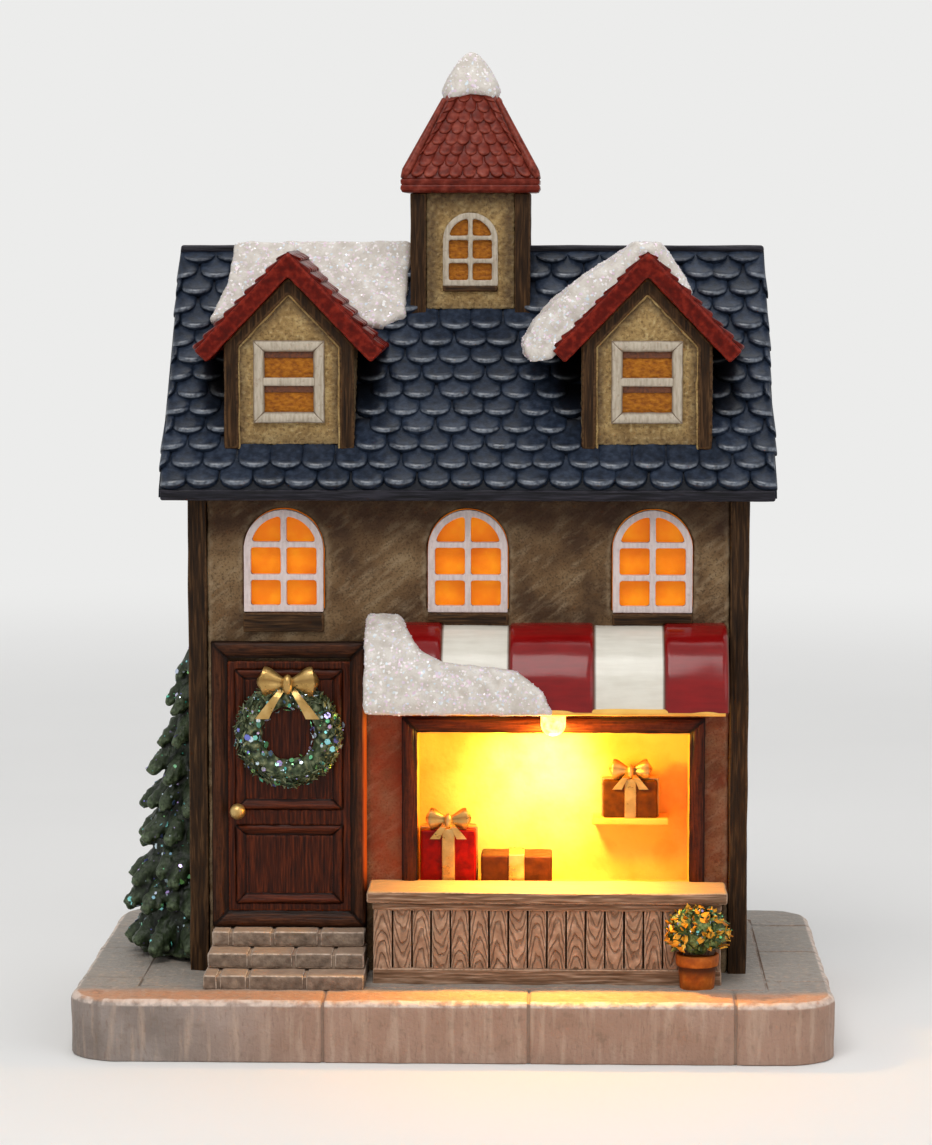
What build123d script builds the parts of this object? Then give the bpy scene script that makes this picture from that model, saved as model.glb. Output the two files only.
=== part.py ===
"""Lit Christmas village house: painted resin castings round a small battery lamp set.

Millimetres. The origin is the middle of the base's underside, +Z is up, and the shop
front faces -Y. A height is measured up from what carries the piece.
"""

import math
import os

from build123d import *

os.makedirs("parts", exist_ok=True)

# Allowances shared by all pieces
overrun = 2.0  # how far a cut runs past the face that it opens
fit_gap = 0.1  # room round a piece that is set into an opening
run_gap = 0.3  # room between pieces that move past each other

# Base slab
base_width = 150.0
base_depth = 96.0
base_height = 12.0
base_corner_radius = 10.0
base_edge_radius = 1.4
slab_joint_width = 1.0
slab_joint_depth = 0.7
slab_joint_shares = (-0.166, 0.101, 0.369)  # of the base's width, from its middle

# House shell and its corner posts
house_setback = 28.3  # base's front edge to the front wall
house_rear_margin = 11.7  # rear wall to the base's rear edge
house_left_margin = 21.3  # base's left edge to the corner posts, with room for the tree
house_right_margin = 16.1  # corner posts to the base's right edge
wall_thickness = 3.5
post_width = 3.8
post_proud = 0.7

# Main roof
soffit_height = 97.0
ridge_rise = 49.0  # soffit to ridge
eave_overhang = 6.0
fascia_height = 1.6
roof_thickness = 7.0  # measured straight down
gable_overhang = 5.1  # past the posts, at the eaves
gable_lean = 1.2  # how much less it is at the ridge
tile_courses = 14
tile_butt = 0.8

# Dormers, one each side of the turret
dormer_offset_share = 0.31705  # of the house's width, from its middle
dormer_width = 26.0
dormer_proud = 0.3  # its front stands this far out from the front wall
dormer_ridge_drop = 0.4  # below the main ridge
dormer_roof_width = 37.6
dormer_roof_fall = 19.6  # ridge to the eave's outer corner
dormer_roof_thickness = 3.4  # square to its slope
dormer_roof_overhang = 2.6
dormer_post_width = 2.9
dormer_rafter_depth = 3.4  # measured straight down
dormer_timber_proud = 0.9
dormer_window_width = 14.2
dormer_window_headroom = 1.9  # from its upper corners to the rafters
dormer_window_border = 2.2
dormer_window_bar = 1.7
dormer_window_lift = 5.0  # above the slope that the dormer stands on
dormer_window_proud = 1.1

# Turret on the ridge
turret_width = 23.2  # over the plaster
turret_depth = 19.0
turret_wall_rise = 11.4  # ridge to the underside of its eave
turret_post_width = 3.2
turret_post_proud = 0.6
turret_eave_overhang = 1.5  # past the posts
turret_fascia = 2.0
turret_roof_rise = 27.6  # eave to the point where its four slopes would meet
turret_roof_cut_share = 0.75  # of that rise, where the roof stops under the snow
turret_courses = 10
turret_tile_butt = 0.45
turret_window_width = 11.2
turret_window_height = 14.9
turret_window_drop = 4.0  # eave to the top of the window
turret_window_border = 1.2
turret_window_bar = 0.9
turret_window_proud = 0.9

# Upper windows in the front wall
window_pitch_share = 0.3286  # of the house's width
window_width = 16.2
window_headroom = 2.7  # to the soffit
window_border = 1.6
window_bar = 1.4
window_bar_shares = (0.342, 0.656)  # of a round-headed window's height
window_foot_share = 0.7567  # of the soffit's height
window_proud = 0.6
window_frame_depth = 2.0
pane_thickness = 1.2
sill_height = 3.9
sill_proud = 0.9

# Steps and door
step_count = 3
step_rise = 3.17
step_tread = 6.2
step_spread = 0.3  # how much wider each lower step is on each side
door_margin = 0.9  # corner post to door frame
door_frame_width = 31.2
door_headroom = 1.89  # to the sill above it
door_frame_side = 3.1
door_frame_head = 3.9
door_frame_foot = 3.2
door_frame_proud = 2.2
door_leaf_thickness = 1.4
door_panel_margin = 1.6
door_panel_depth = 0.5
door_moulding = 2.1  # from the panel's edge to its raised field
lock_rail_height = 3.2
lower_panel_height = 16.0
knob_inset = 2.3  # from the leaf's edge to the knob's middle
knob_radius = 1.6
knob_neck_radius = 0.8
knob_neck_length = 0.9
wreath_radius = 7.8  # to the middle of its tube
wreath_tube_radius = 2.5
wreath_drop = 14.6  # from the top of the leaf to its middle
bow_width = 12.4
bow_height = 5.0
bow_tail_length = 6.0
bow_depth = 3.6
bow_lift = 10.6  # wreath's middle to bow's middle

# Shop counter
counter_gap = 0.6  # to the door frame on one side and the corner post on the other
counter_height = 19.1
counter_projection = 13.3  # front of its top, out from the wall
counter_top_thickness = 2.4
counter_top_overhang = 1.1
counter_top_edge = 0.5
bed_mould_height = 1.6
bed_mould_proud = 0.5
skirting_height = 3.4
skirting_proud = 0.5
end_board_width = 4.0
plank_count = 16
plank_groove = 0.5

# Shop window, its niche and what stands in it
shop_left_margin = 6.5  # frame to the counter's left end
shop_right_margin = 4.2  # and to its right end
shop_frame_post = 3.0
shop_frame_bar = 3.4
shop_frame_proud = 1.4
niche_depth = 15.0
niche_wall = 1.5
niche_floor_drop = 2.5  # below the counter's top
shelf_width = 15.6
shelf_depth = 7.0
shelf_thickness = 1.4
shelf_drop = 18.5  # below the head of the opening
shelf_inset = 4.0  # from the niche's right wall
gift_gap = 0.4  # to the niche's wall and between gifts
gift_setback = 1.4  # behind the face of the front wall
gift_depth = 8.6
ribbon_thickness = 0.3
red_gift_width = 11.2
red_gift_height = 12.4
red_ribbon_width = 2.6
red_bow_width = 8.4
red_bow_height = 3.8
flat_gift_width = 14.4
flat_gift_height = 7.2
flat_ribbon_width = 3.2
gold_gift_width = 11.2
gold_gift_depth = 5.4
gold_gift_height = 7.8
gold_ribbon_width = 2.4
gold_bow_width = 8.0
gold_bow_height = 3.6
gift_bow_depth = 2.6

# Awning
awning_gap = 2.8  # above the shop frame
awning_drop = 2.4  # from the foot of the windows to its top
awning_height = 15.8
awning_projection = 13.4
awning_stripe_shares = (0.0, 0.207, 0.392, 0.63, 0.822, 1.0)  # of its length, from the left
awning_stripe_proud = 0.5

# Snow patches
roof_snow_thickness = 2.0
roof_snow_shares = (  # of the eave's length from the middle, and of the slope down from the ridge
    (-0.395, 0.0), (-0.402, -0.17), (-0.43, -0.325), (-0.34, -0.3), (-0.2, -0.33),
    (-0.145, -0.345), (-0.112, -0.3), (-0.104, 0.0),
)
dormer_snow_thickness = 6.0  # where the heap is thickest, square to the slope
dormer_snow_depth = 17.0  # back from the dormer roof's front edge
dormer_snow_shares = (  # of a slope's length from the ridge, left below zero, and of the thickness
    (-1.06, 0.0), (-1.16, 0.3), (-1.1, 0.8), (-0.94, 1.0), (-0.7, 1.0), (-0.42, 0.82), (-0.18, 0.6),
    (-0.02, 0.5), (0.02, 0.48), (0.18, 0.36), (0.36, 0.24), (0.46, 0.0),
)
awning_snow_thickness = 2.2
awning_snow_length_share = 0.51  # of the awning, from its left end
awning_snow_shares = (  # of that length, and of the awning's height
    (0.0, 1.12), (0.16, 1.12), (0.29, 0.72), (0.4, 0.6), (0.8, 0.5), (0.94, 0.27), (1.0, 0.0),
)
snow_cap_height = 9.8
snow_cap_lip = 3.6  # how far it comes down over the turret's roof
snow_cap_thickness = 0.9
snow_cap_shares = ((0.0, 1.0), (0.5, 0.74), (1.0, 0.2))  # of its height, and of its foot's size

# Plant pot and tree
pot_inset = 6.0  # counter's right end to the pot's middle
pot_stand_out = 1.7  # counter's face to the pot's middle
pot_height = 7.1
pot_rim_height = 2.4
pot_rim_radius = 4.3
pot_mouth_radius = 3.8
pot_foot_radius = 3.3
bush_radius = 4.5
bush_lump_radius = 1.9
bush_lump_count = 7
tree_setback = 20.5  # front wall to the tree's middle
tree_height = 63.0
tree_radius = 16.8
tree_trunk_radius = 6.0
tree_trunk_height = 5.0
tree_tiers = 7
tree_droop = 2.4  # how far a tier's tips hang below its root
tree_root_share = 0.66  # of a tier's own radius, where it meets the tier below
tree_taper_power = 0.75

# Battery tray, its door, cells and contacts
underside_recess = 1.2  # keeps the tray and the switch off the table
flange_thickness = 3.6
flange_margin = 5.5  # tray's walls to the flange's edge
flange_seat = 2.5  # width of the ledge in the base that the flange is glued to
tray_wall = 1.5
cell_diameter = 10.5
cell_length = 43.3  # without its button
cell_button_radius = 1.9
cell_button_length = 1.2
cell_gap = 1.0
contact_room = 2.6  # at each end of a cell
contact_sheet = 0.4
contact_width = 6.0
contact_height = 7.0
battery_door_thickness = 2.4
hinge_pin_radius = 0.6
hinge_pin_length = 2.0
hinge_pin_gap = 0.1
latch_width = 9.0
latch_length = 1.4
latch_thickness = 1.1

# Slide switch
switch_room = 17.0  # length of the flange that is kept for the switch
switch_length = 10.0
switch_width = 5.4
switch_height = 4.2
slider_length = 4.4
slider_width = 3.0
slider_thickness = 1.4
slider_stem_length = 2.2
slider_stem_width = 1.8
slider_travel = 2.2
slider_drop = 0.8  # how far the stem stands out under the flange

# Lamps and leads
lamp_diameter = 5.0
lamp_barrel = 1.8
lamp_projection = 5.6  # shop lamp's axis, out from the front wall
socket_diameter = 6.2
socket_length = 3.2
socket_show = 1.6  # how far the shop lamp's socket stands out under the awning
socket_tail = 3.6
socket_tail_height = 3.0
window_lamp_setback = 11.0  # window lamp's axis, in from the front wall
lead_diameter = 1.2
lead_spacing = 3.0
bend_share = 0.45  # of the shorter run beside a bend

# Places worked out from the sizes above
base_top = base_height
house_x = (house_left_margin - house_right_margin) / 2
house_width = base_width - house_left_margin - house_right_margin  # over the posts
front_y = house_setback - base_depth / 2
rear_y = base_depth / 2 - house_rear_margin
house_depth = rear_y - front_y  # over the plaster
ridge_y = (front_y + rear_y) / 2
wall_width = house_width - 2 * post_proud
left_wall_x = house_x - wall_width / 2
post_inner_x = house_width / 2 - post_width

soffit_z = base_top + soffit_height
ridge_z = soffit_z + ridge_rise
eave_half = house_depth / 2 + eave_overhang
eave_length = house_width + 2 * gable_overhang
roof_slope = (ridge_rise - fascia_height) / eave_half
roof_angle = math.atan(roof_slope)
slope_length = math.hypot(eave_half, ridge_rise - fascia_height)
course_run = eave_half / tile_courses

dormer_front_y = front_y - dormer_proud
dormer_apex_z = ridge_z - dormer_ridge_drop
dormer_roof_half = dormer_roof_width / 2
dormer_slope = dormer_roof_fall / dormer_roof_half
dormer_angle = math.atan(dormer_slope)
dormer_foot_z = ridge_z - (ridge_y - dormer_front_y) * roof_slope
dormer_offset = dormer_offset_share * house_width
dormer_places = {"left": house_x - dormer_offset, "right": house_x + dormer_offset}
window_pitch = window_pitch_share * house_width
window_places = {"left": house_x - window_pitch, "centre": house_x, "right": house_x + window_pitch}

turret_eave_z = ridge_z + turret_wall_rise
turret_front_y = ridge_y - turret_depth / 2
turret_roof_width = turret_width + 2 * (turret_post_proud + turret_eave_overhang)
turret_roof_depth = turret_depth + 2 * (turret_post_proud + turret_eave_overhang)
turret_roof_foot_z = turret_eave_z + turret_fascia
turret_roof_height = turret_roof_rise * turret_roof_cut_share
turret_window_z = turret_eave_z - turret_window_drop - turret_window_height

window_z = base_top + window_foot_share * soffit_height
window_height = soffit_z - window_headroom - window_z
door_foot_z = base_top + step_count * step_rise
door_frame_height = window_z - sill_height - door_headroom - door_foot_z
door_left_x = house_x - post_inner_x + door_margin
door_x = door_left_x + door_frame_width / 2
leaf_width = door_frame_width - 2 * door_frame_side
leaf_height = door_frame_height - door_frame_head - door_frame_foot
leaf_z = door_foot_z + door_frame_foot
leaf_face_y = front_y - door_leaf_thickness
lower_panel_z = leaf_z + door_panel_margin
lock_rail_z = lower_panel_z + lower_panel_height
upper_panel_z = lock_rail_z + lock_rail_height
upper_panel_height = leaf_z + leaf_height - door_panel_margin - upper_panel_z
wreath_z = leaf_z + leaf_height - wreath_drop

counter_left_x = door_left_x + door_frame_width + counter_gap
counter_right_x = house_x + post_inner_x - counter_gap
counter_length = counter_right_x - counter_left_x
counter_x = (counter_left_x + counter_right_x) / 2
counter_z = base_top + counter_height
counter_body_height = counter_height - counter_top_thickness
plank_face = counter_projection - counter_top_overhang - max(bed_mould_proud, skirting_proud)
awning_z = window_z - awning_drop - awning_height
shop_opening_width = counter_length - shop_left_margin - shop_right_margin - 2 * shop_frame_post
shop_x = counter_right_x - shop_right_margin - shop_frame_post - shop_opening_width / 2
shop_head_z = awning_z - awning_gap - shop_frame_bar
shop_opening_height = shop_head_z - counter_z
niche_floor_z = counter_z - niche_floor_drop
niche_height = shop_head_z - niche_floor_z
niche_back_y = front_y + niche_depth
niche_top_z = shop_head_z + niche_wall
niche_left_x = shop_x - shop_opening_width / 2
niche_right_x = shop_x + shop_opening_width / 2
shelf_x = niche_right_x - shelf_inset - shelf_width / 2
shelf_z = shop_head_z - shelf_drop

pot_x = counter_right_x - pot_inset
pot_y = front_y - plank_face - pot_stand_out
tree_y = front_y + tree_setback

bay_length = cell_length + cell_button_length + 2 * contact_room
bay_width = 2 * cell_diameter + cell_gap + 2 * run_gap
cell_z = underside_recess + battery_door_thickness + run_gap + cell_diameter / 2
cell_offset = (cell_diameter + cell_gap) / 2
flange_z = underside_recess + flange_thickness
bay_roof_z = cell_z + cell_diameter / 2 + run_gap
flange_length = bay_length + 2 * (tray_wall + flange_margin) + switch_room
flange_width = bay_width + 2 * (tray_wall + flange_margin)
flange_x = house_x
tray_y = ridge_y
bay_x = flange_x - switch_room / 2
bay_right_x = bay_x + bay_length / 2
switch_x = bay_right_x + tray_wall + switch_room / 2
hinge_radius = battery_door_thickness / 2
hinge_y = tray_y + bay_width / 2 - run_gap - hinge_radius
hinge_z = underside_recess + hinge_radius
slider_rest_x = switch_x - slider_travel / 2
switch_top_z = flange_z + switch_height

shop_lamp_y = front_y - lamp_projection
shop_socket_top_z = awning_z - socket_show + socket_length
shop_lead_z = shop_socket_top_z + socket_tail_height / 2
window_lamp_x = house_x
window_lamp_y = front_y + window_lamp_setback
window_lead_z = niche_top_z + socket_tail_height / 2

standing = (Align.CENTER, Align.CENTER, Align.MIN)
hanging = (Align.CENTER, Align.CENTER, Align.MAX)
on_wall = (Align.CENTER, Align.MAX, Align.MIN)  # back face on the wall, foot on what carries it
reaching_back = (Align.CENTER, Align.MIN, Align.MIN)


def save(piece, name):
    """Label a finished piece and write it to its own file."""
    piece.part.label = name
    export_step(piece.part, f"parts/{name}.step")


def front_plane(x, y, z):
    """Sketch plane that faces the front, with its own y axis pointing up."""
    return Plane(origin=(x, y, z), x_dir=(1, 0, 0), z_dir=(0, -1, 0))


def roof_top(y):
    """Height of the bare roof slope at depth y."""
    return ridge_z - abs(y - ridge_y) * roof_slope


def roof_under(y):
    """Height of the roof's underside at depth y."""
    return roof_top(y) - roof_thickness


def tile_line(side):
    """Stepped courses of tiles from the eave to the ridge: side -1 is the front, 1 the rear."""
    points = []
    for course in range(tile_courses):
        low_y = ridge_y + side * (eave_half - course * course_run)
        high_y = ridge_y + side * (eave_half - (course + 1) * course_run)
        points.append((low_y, roof_top(low_y) + tile_butt))
        points.append((high_y, roof_top(high_y)))
    return points


def roof_outline():
    """Outside of the roof in the YZ plane, from the front soffit over the ridge to the rear soffit."""
    front_foot = (ridge_y - eave_half, soffit_z)
    rear_foot = (ridge_y + eave_half, soffit_z)
    rear_line = list(reversed(tile_line(1)))
    return [front_foot] + tile_line(-1) + rear_line[1:] + [rear_foot]


def dormer_under(x):
    """Height of a dormer roof's underside at x from the dormer's middle."""
    return dormer_apex_z - dormer_roof_thickness / math.cos(dormer_angle) - abs(x) * dormer_slope


def house_end(half_width, foot, head):
    """Five-sided house outline: two upright sides and two slopes given by the function head."""
    return [
        (-half_width, foot), (-half_width, head(half_width)), (0, head(0)),
        (half_width, head(half_width)), (half_width, foot),
    ]


def closed_face(points, mode=Mode.ADD):
    """Face inside a closed line of straight runs, in the sketch that is being drawn."""
    with BuildLine() as outline:
        Polyline(*points, close=True)
    make_face(outline.edges(), mode=mode)


def arch(width, height, foot=0, mode=Mode.ADD):
    """Round-headed outline that stands at the height foot in the sketch."""
    half = width / 2
    head = foot + height
    spring = head - half
    with BuildLine() as outline:
        Polyline((-half, spring), (-half, foot), (half, foot), (half, spring))
        ThreePointArc((half, spring), (0, head), (-half, spring))
    make_face(outline.edges(), mode=mode)


def arched_lattice(width, height, border, bar):
    """Round-headed six-pane window frame that stands on the sketch's origin."""
    arch(width, height)
    arch(width - 2 * border, height - 2 * border, border, Mode.SUBTRACT)
    with Locations((0, height / 2)):
        Rectangle(bar, height - border)
    for share in window_bar_shares:
        with Locations((0, height * share)):
            Rectangle(width - border, bar)


def bow_outline(width, height):
    """Two ribbon loops and a knot, centred on the sketch's origin."""
    with Locations((-width / 4, 0), (width / 4, 0)):
        Ellipse(width / 4, height / 2)
    Circle(height / 4)


def awning_profile(extra):
    """Quarter-oval awning section on the YZ plane, grown by extra."""
    reach = awning_projection + extra
    height = awning_height + extra
    with BuildLine() as outline:
        EllipticalCenterArc((front_y, awning_z), reach, height, start_angle=90, arc_size=90)
        Polyline((front_y - reach, awning_z), (front_y, awning_z), (front_y, awning_z + height))
    make_face(outline.edges())


def route_radii(points):
    """Largest bend at each corner of a lead's route that its two runs leave room for."""
    radii = []
    for before, corner, after in zip(points, points[1:], points[2:]):
        run_in = Vector(*corner) - Vector(*before)
        run_out = Vector(*after) - Vector(*corner)
        turn = math.radians(run_in.get_angle(run_out))
        radii.append(bend_share * min(run_in.length, run_out.length) / math.tan(turn / 2))
    return radii


# Base slab, with the opening under it for the battery tray
with BuildPart() as base_plinth:
    with BuildSketch():
        RectangleRounded(base_width, base_depth, base_corner_radius)
    extrude(amount=base_height)
    fillet(base_plinth.edges().group_by(Axis.Z)[-1], base_edge_radius)
    for joint_share in slab_joint_shares:
        joint_x = joint_share * base_width
        for edge_y, strip in ((-base_depth / 2, house_setback), (base_depth / 2, house_rear_margin)):
            with Locations((joint_x, edge_y, base_top)):
                Box(slab_joint_width, 2 * strip, 2 * slab_joint_depth, mode=Mode.SUBTRACT)
                Box(slab_joint_width, 2 * slab_joint_depth, 2 * base_height, mode=Mode.SUBTRACT)
    with Locations((flange_x, tray_y, flange_z)):
        Box(flange_length + 2 * fit_gap, flange_width + 2 * fit_gap, flange_z + overrun,
            align=hanging, mode=Mode.SUBTRACT)
        Box(flange_length - 2 * flange_seat, flange_width - 2 * flange_seat, base_height + overrun,
            align=standing, mode=Mode.SUBTRACT)
save(base_plinth, "base_plinth")

# Four timber posts at the corners of the house
with BuildPart() as corner_posts:
    post_x = house_width / 2 - post_width / 2
    post_y = house_depth / 2 + post_proud - post_width / 2
    with Locations((house_x, ridge_y, base_top)):
        with GridLocations(2 * post_x, 2 * post_y, 2, 2):
            Box(post_width, post_width, soffit_height, align=standing)
save(corner_posts, "corner_posts")

# Solid under the tiles, which trims whatever stands on the roof
with BuildPart() as roof_body:
    with BuildSketch(Plane.YZ.offset(house_x - eave_length / 2)):
        closed_face(roof_outline())
    extrude(amount=eave_length)

# Slate roof: the same outline, hollow below, with its ends leaning in towards the ridge
with BuildPart() as main_roof:
    add(roof_body.part)
    inner_half = (ridge_rise - roof_thickness) / roof_slope
    with BuildSketch(Plane.YZ.offset(house_x - eave_length / 2 - overrun)):
        closed_face([(ridge_y - inner_half, soffit_z), (ridge_y, ridge_z - roof_thickness),
                     (ridge_y + inner_half, soffit_z)])
    extrude(amount=eave_length + 2 * overrun, mode=Mode.SUBTRACT)
    for side in (-1, 1):
        end_origin = (house_x + side * eave_length / 2, ridge_y, soffit_z)
        end_plane = Plane(origin=end_origin, x_dir=(0, 1, 0), z_dir=(side * ridge_rise, 0, gable_lean))
        split(bisect_by=end_plane, keep=Keep.BOTTOM)
save(main_roof, "main_roof")

# Awning over the shop: five stripes, the first and every other one standing proud
with BuildPart() as awning:
    stripe_ends = [counter_left_x + share * counter_length for share in awning_stripe_shares]
    for stripe, (start_x, end_x) in enumerate(zip(stripe_ends, stripe_ends[1:])):
        with BuildSketch(Plane.YZ.offset(start_x)):
            awning_profile(awning_stripe_proud * ((stripe + 1) % 2))
        extrude(amount=end_x - start_x)
    lamp_pocket_radius = socket_diameter / 2 + fit_gap
    lamp_pocket_height = socket_length - socket_show + socket_tail_height + fit_gap
    with Locations((shop_x, shop_lamp_y, awning_z + lamp_pocket_height)):
        Cylinder(lamp_pocket_radius, lamp_pocket_height + overrun, align=hanging, mode=Mode.SUBTRACT)
    with BuildSketch(front_plane(shop_x, shop_lamp_y, shop_lead_z)):
        Circle(lead_diameter / 2 + run_gap)
    extrude(amount=-(lamp_projection + overrun), mode=Mode.SUBTRACT)
save(awning, "awning")

# Plaster walls with gable ends, open for the upper windows, the shop niche and the lamp's lead
with BuildPart() as house_walls:
    with BuildSketch(Plane.YZ.offset(left_wall_x)):
        closed_face([(front_y, base_top), (front_y, roof_under(front_y)), (ridge_y, roof_under(ridge_y)),
                     (rear_y, roof_under(rear_y)), (rear_y, base_top)])
    extrude(amount=wall_width)
    with Locations((house_x, ridge_y, base_top)):
        Box(wall_width - 2 * wall_thickness, house_depth - 2 * wall_thickness, soffit_height + ridge_rise,
            align=standing, mode=Mode.SUBTRACT)
    for window_x in window_places.values():
        with BuildSketch(front_plane(window_x, front_y, window_z - fit_gap)):
            arch(window_width + 2 * fit_gap, window_height + 2 * fit_gap)
        extrude(amount=-(wall_thickness + overrun), mode=Mode.SUBTRACT)
    with Locations((shop_x, front_y, niche_floor_z - niche_wall - fit_gap)):
        Box(shop_opening_width + 2 * (niche_wall + fit_gap), wall_thickness + overrun,
            niche_height + 2 * (niche_wall + fit_gap), align=reaching_back, mode=Mode.SUBTRACT)
    with BuildSketch(front_plane(shop_x, front_y, shop_lead_z)):
        Circle(lead_diameter / 2 + run_gap)
    extrude(amount=-(wall_thickness + overrun), mode=Mode.SUBTRACT)
    add(corner_posts.part, mode=Mode.SUBTRACT)
save(house_walls, "house_walls")

# Upper windows: a frame, and an amber pane behind it, both set into the wall
for place, window_x in window_places.items():
    with BuildPart() as window_frame:
        with BuildSketch(front_plane(window_x, front_y - window_proud, window_z)):
            arched_lattice(window_width, window_height, window_border, window_bar)
        extrude(amount=-window_frame_depth)
    save(window_frame, f"upper_window_frame_{place}")

    with BuildPart() as window_pane:
        with BuildSketch(front_plane(window_x, front_y - window_proud + window_frame_depth, window_z)):
            arch(window_width, window_height)
        extrude(amount=-pane_thickness)
    save(window_pane, f"upper_window_pane_{place}")

# Timber sills under the upper windows and the turret's window
with BuildPart() as window_sills:
    for window_x in window_places.values():
        with Locations((window_x, front_y, window_z)):
            Box(window_width, sill_proud, sill_height, align=(Align.CENTER, Align.MAX, Align.MAX))
    with Locations((house_x, turret_front_y, turret_window_z)):
        Box(turret_window_width, turret_window_proud, turret_window_border,
            align=(Align.CENTER, Align.MAX, Align.MAX))
    add(awning.part, mode=Mode.SUBTRACT)
save(window_sills, "window_sills")

# Dormers
for place, dormer_x in dormer_places.items():
    window_foot_z = dormer_foot_z + dormer_window_lift
    rafter_z = dormer_under(dormer_window_width / 2) - dormer_rafter_depth
    dormer_window_height = rafter_z - dormer_window_headroom - window_foot_z
    window_middle_z = window_foot_z + dormer_window_height / 2
    pane_width = dormer_window_width - dormer_window_border
    pane_height = dormer_window_height - dormer_window_border
    dormer_half = dormer_width / 2

    with BuildPart() as dormer_body:
        with BuildSketch(front_plane(dormer_x, dormer_front_y, 0)):
            closed_face(house_end(dormer_half, soffit_z, dormer_under))
        extrude(amount=-(ridge_y - dormer_front_y))
        add(roof_body.part, mode=Mode.SUBTRACT)
        with BuildSketch(front_plane(dormer_x, dormer_front_y, window_middle_z)):
            Rectangle(pane_width + 2 * fit_gap, pane_height + 2 * fit_gap)
        extrude(amount=-pane_thickness, mode=Mode.SUBTRACT)
    save(dormer_body, f"dormer_{place}_body")

    with BuildPart() as dormer_pane:
        with BuildSketch(front_plane(dormer_x, dormer_front_y, window_middle_z)):
            Rectangle(pane_width, pane_height)
        extrude(amount=-pane_thickness)
    save(dormer_pane, f"dormer_{place}_window_pane")

    with BuildPart() as dormer_frame:
        with BuildSketch(front_plane(dormer_x, dormer_front_y, window_middle_z)):
            Rectangle(dormer_window_width, dormer_window_height)
            Rectangle(dormer_window_width - 2 * dormer_window_border,
                      dormer_window_height - 2 * dormer_window_border, mode=Mode.SUBTRACT)
            Rectangle(pane_width, dormer_window_bar)
        extrude(amount=dormer_window_proud)
    save(dormer_frame, f"dormer_{place}_window_frame")

    with BuildPart() as dormer_timber:
        with BuildSketch(front_plane(dormer_x, dormer_front_y, 0)):
            closed_face(house_end(dormer_half, soffit_z, dormer_under))
            closed_face(house_end(dormer_half - dormer_post_width, soffit_z,
                                  lambda x: dormer_under(x) - dormer_rafter_depth), Mode.SUBTRACT)
        extrude(amount=dormer_timber_proud)
        add(roof_body.part, mode=Mode.SUBTRACT)
    save(dormer_timber, f"dormer_{place}_timber")

    with BuildPart() as dormer_roof:
        eave_in = dormer_roof_thickness * math.sin(dormer_angle)
        eave_down = dormer_roof_thickness * math.cos(dormer_angle)
        eave_z = dormer_apex_z - dormer_roof_fall
        with BuildSketch(front_plane(dormer_x, dormer_front_y - dormer_roof_overhang, 0)):
            closed_face([
                (0, dormer_apex_z), (dormer_roof_half, eave_z),
                (dormer_roof_half - eave_in, eave_z - eave_down), (0, dormer_under(0)),
                (eave_in - dormer_roof_half, eave_z - eave_down), (-dormer_roof_half, eave_z),
            ])
        extrude(amount=-(ridge_y - dormer_front_y + dormer_roof_overhang))
        add(roof_body.part, mode=Mode.SUBTRACT)
    save(dormer_roof, f"dormer_{place}_roof")

    # Snow over the right dormer's ridge, most of it on the left slope
    if place == "right":
        with BuildPart() as dormer_snow:
            snow_line = [(0, 0)]
            for run_share, thick_share in dormer_snow_shares:
                lift = thick_share * dormer_snow_thickness
                out_x = math.copysign(lift, run_share) * math.sin(dormer_angle)
                down_z = abs(run_share) * dormer_roof_fall - lift * math.cos(dormer_angle)
                snow_line.append((run_share * dormer_roof_half + out_x, -down_z))
            snow_y = dormer_front_y - dormer_roof_overhang
            with BuildSketch(front_plane(dormer_x, snow_y, dormer_apex_z)):
                closed_face(snow_line)
            extrude(amount=-dormer_snow_depth)
            add(roof_body.part, mode=Mode.SUBTRACT)
        save(dormer_snow, "dormer_snow")
    else:
        # Everything of the left dormer that the roof's snow has to lie against
        with BuildPart() as left_dormer:
            add(dormer_body.part)
            add(dormer_roof.part)

# Turret on the ridge, its posts, window and roof
with BuildPart() as turret_posts:
    corner_x = turret_width + 2 * turret_post_proud - turret_post_width
    corner_y = turret_depth + 2 * turret_post_proud - turret_post_width
    with Locations((house_x, ridge_y, turret_eave_z)):
        with GridLocations(corner_x, corner_y, 2, 2):
            Box(turret_post_width, turret_post_width, turret_eave_z - soffit_z, align=hanging)
    add(roof_body.part, mode=Mode.SUBTRACT)
save(turret_posts, "turret_posts")

turret_pane_width = turret_window_width - turret_window_border
turret_pane_height = turret_window_height - turret_window_border
turret_pane_z = turret_window_z + turret_window_border / 2

with BuildPart() as turret_body:
    with Locations((house_x, ridge_y, turret_eave_z)):
        Box(turret_width, turret_depth, turret_eave_z - soffit_z, align=hanging)
    add(roof_body.part, mode=Mode.SUBTRACT)
    add(turret_posts.part, mode=Mode.SUBTRACT)
    with BuildSketch(front_plane(house_x, turret_front_y, turret_pane_z - fit_gap)):
        arch(turret_pane_width + 2 * fit_gap, turret_pane_height + 2 * fit_gap)
    extrude(amount=-pane_thickness, mode=Mode.SUBTRACT)
save(turret_body, "turret_body")

with BuildPart() as turret_pane:
    with BuildSketch(front_plane(house_x, turret_front_y, turret_pane_z)):
        arch(turret_pane_width, turret_pane_height)
    extrude(amount=-pane_thickness)
save(turret_pane, "turret_window_pane")

with BuildPart() as turret_frame:
    with BuildSketch(front_plane(house_x, turret_front_y, turret_window_z)):
        arched_lattice(turret_window_width, turret_window_height, turret_window_border, turret_window_bar)
    extrude(amount=turret_window_proud)
save(turret_frame, "turret_window_frame")

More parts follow.
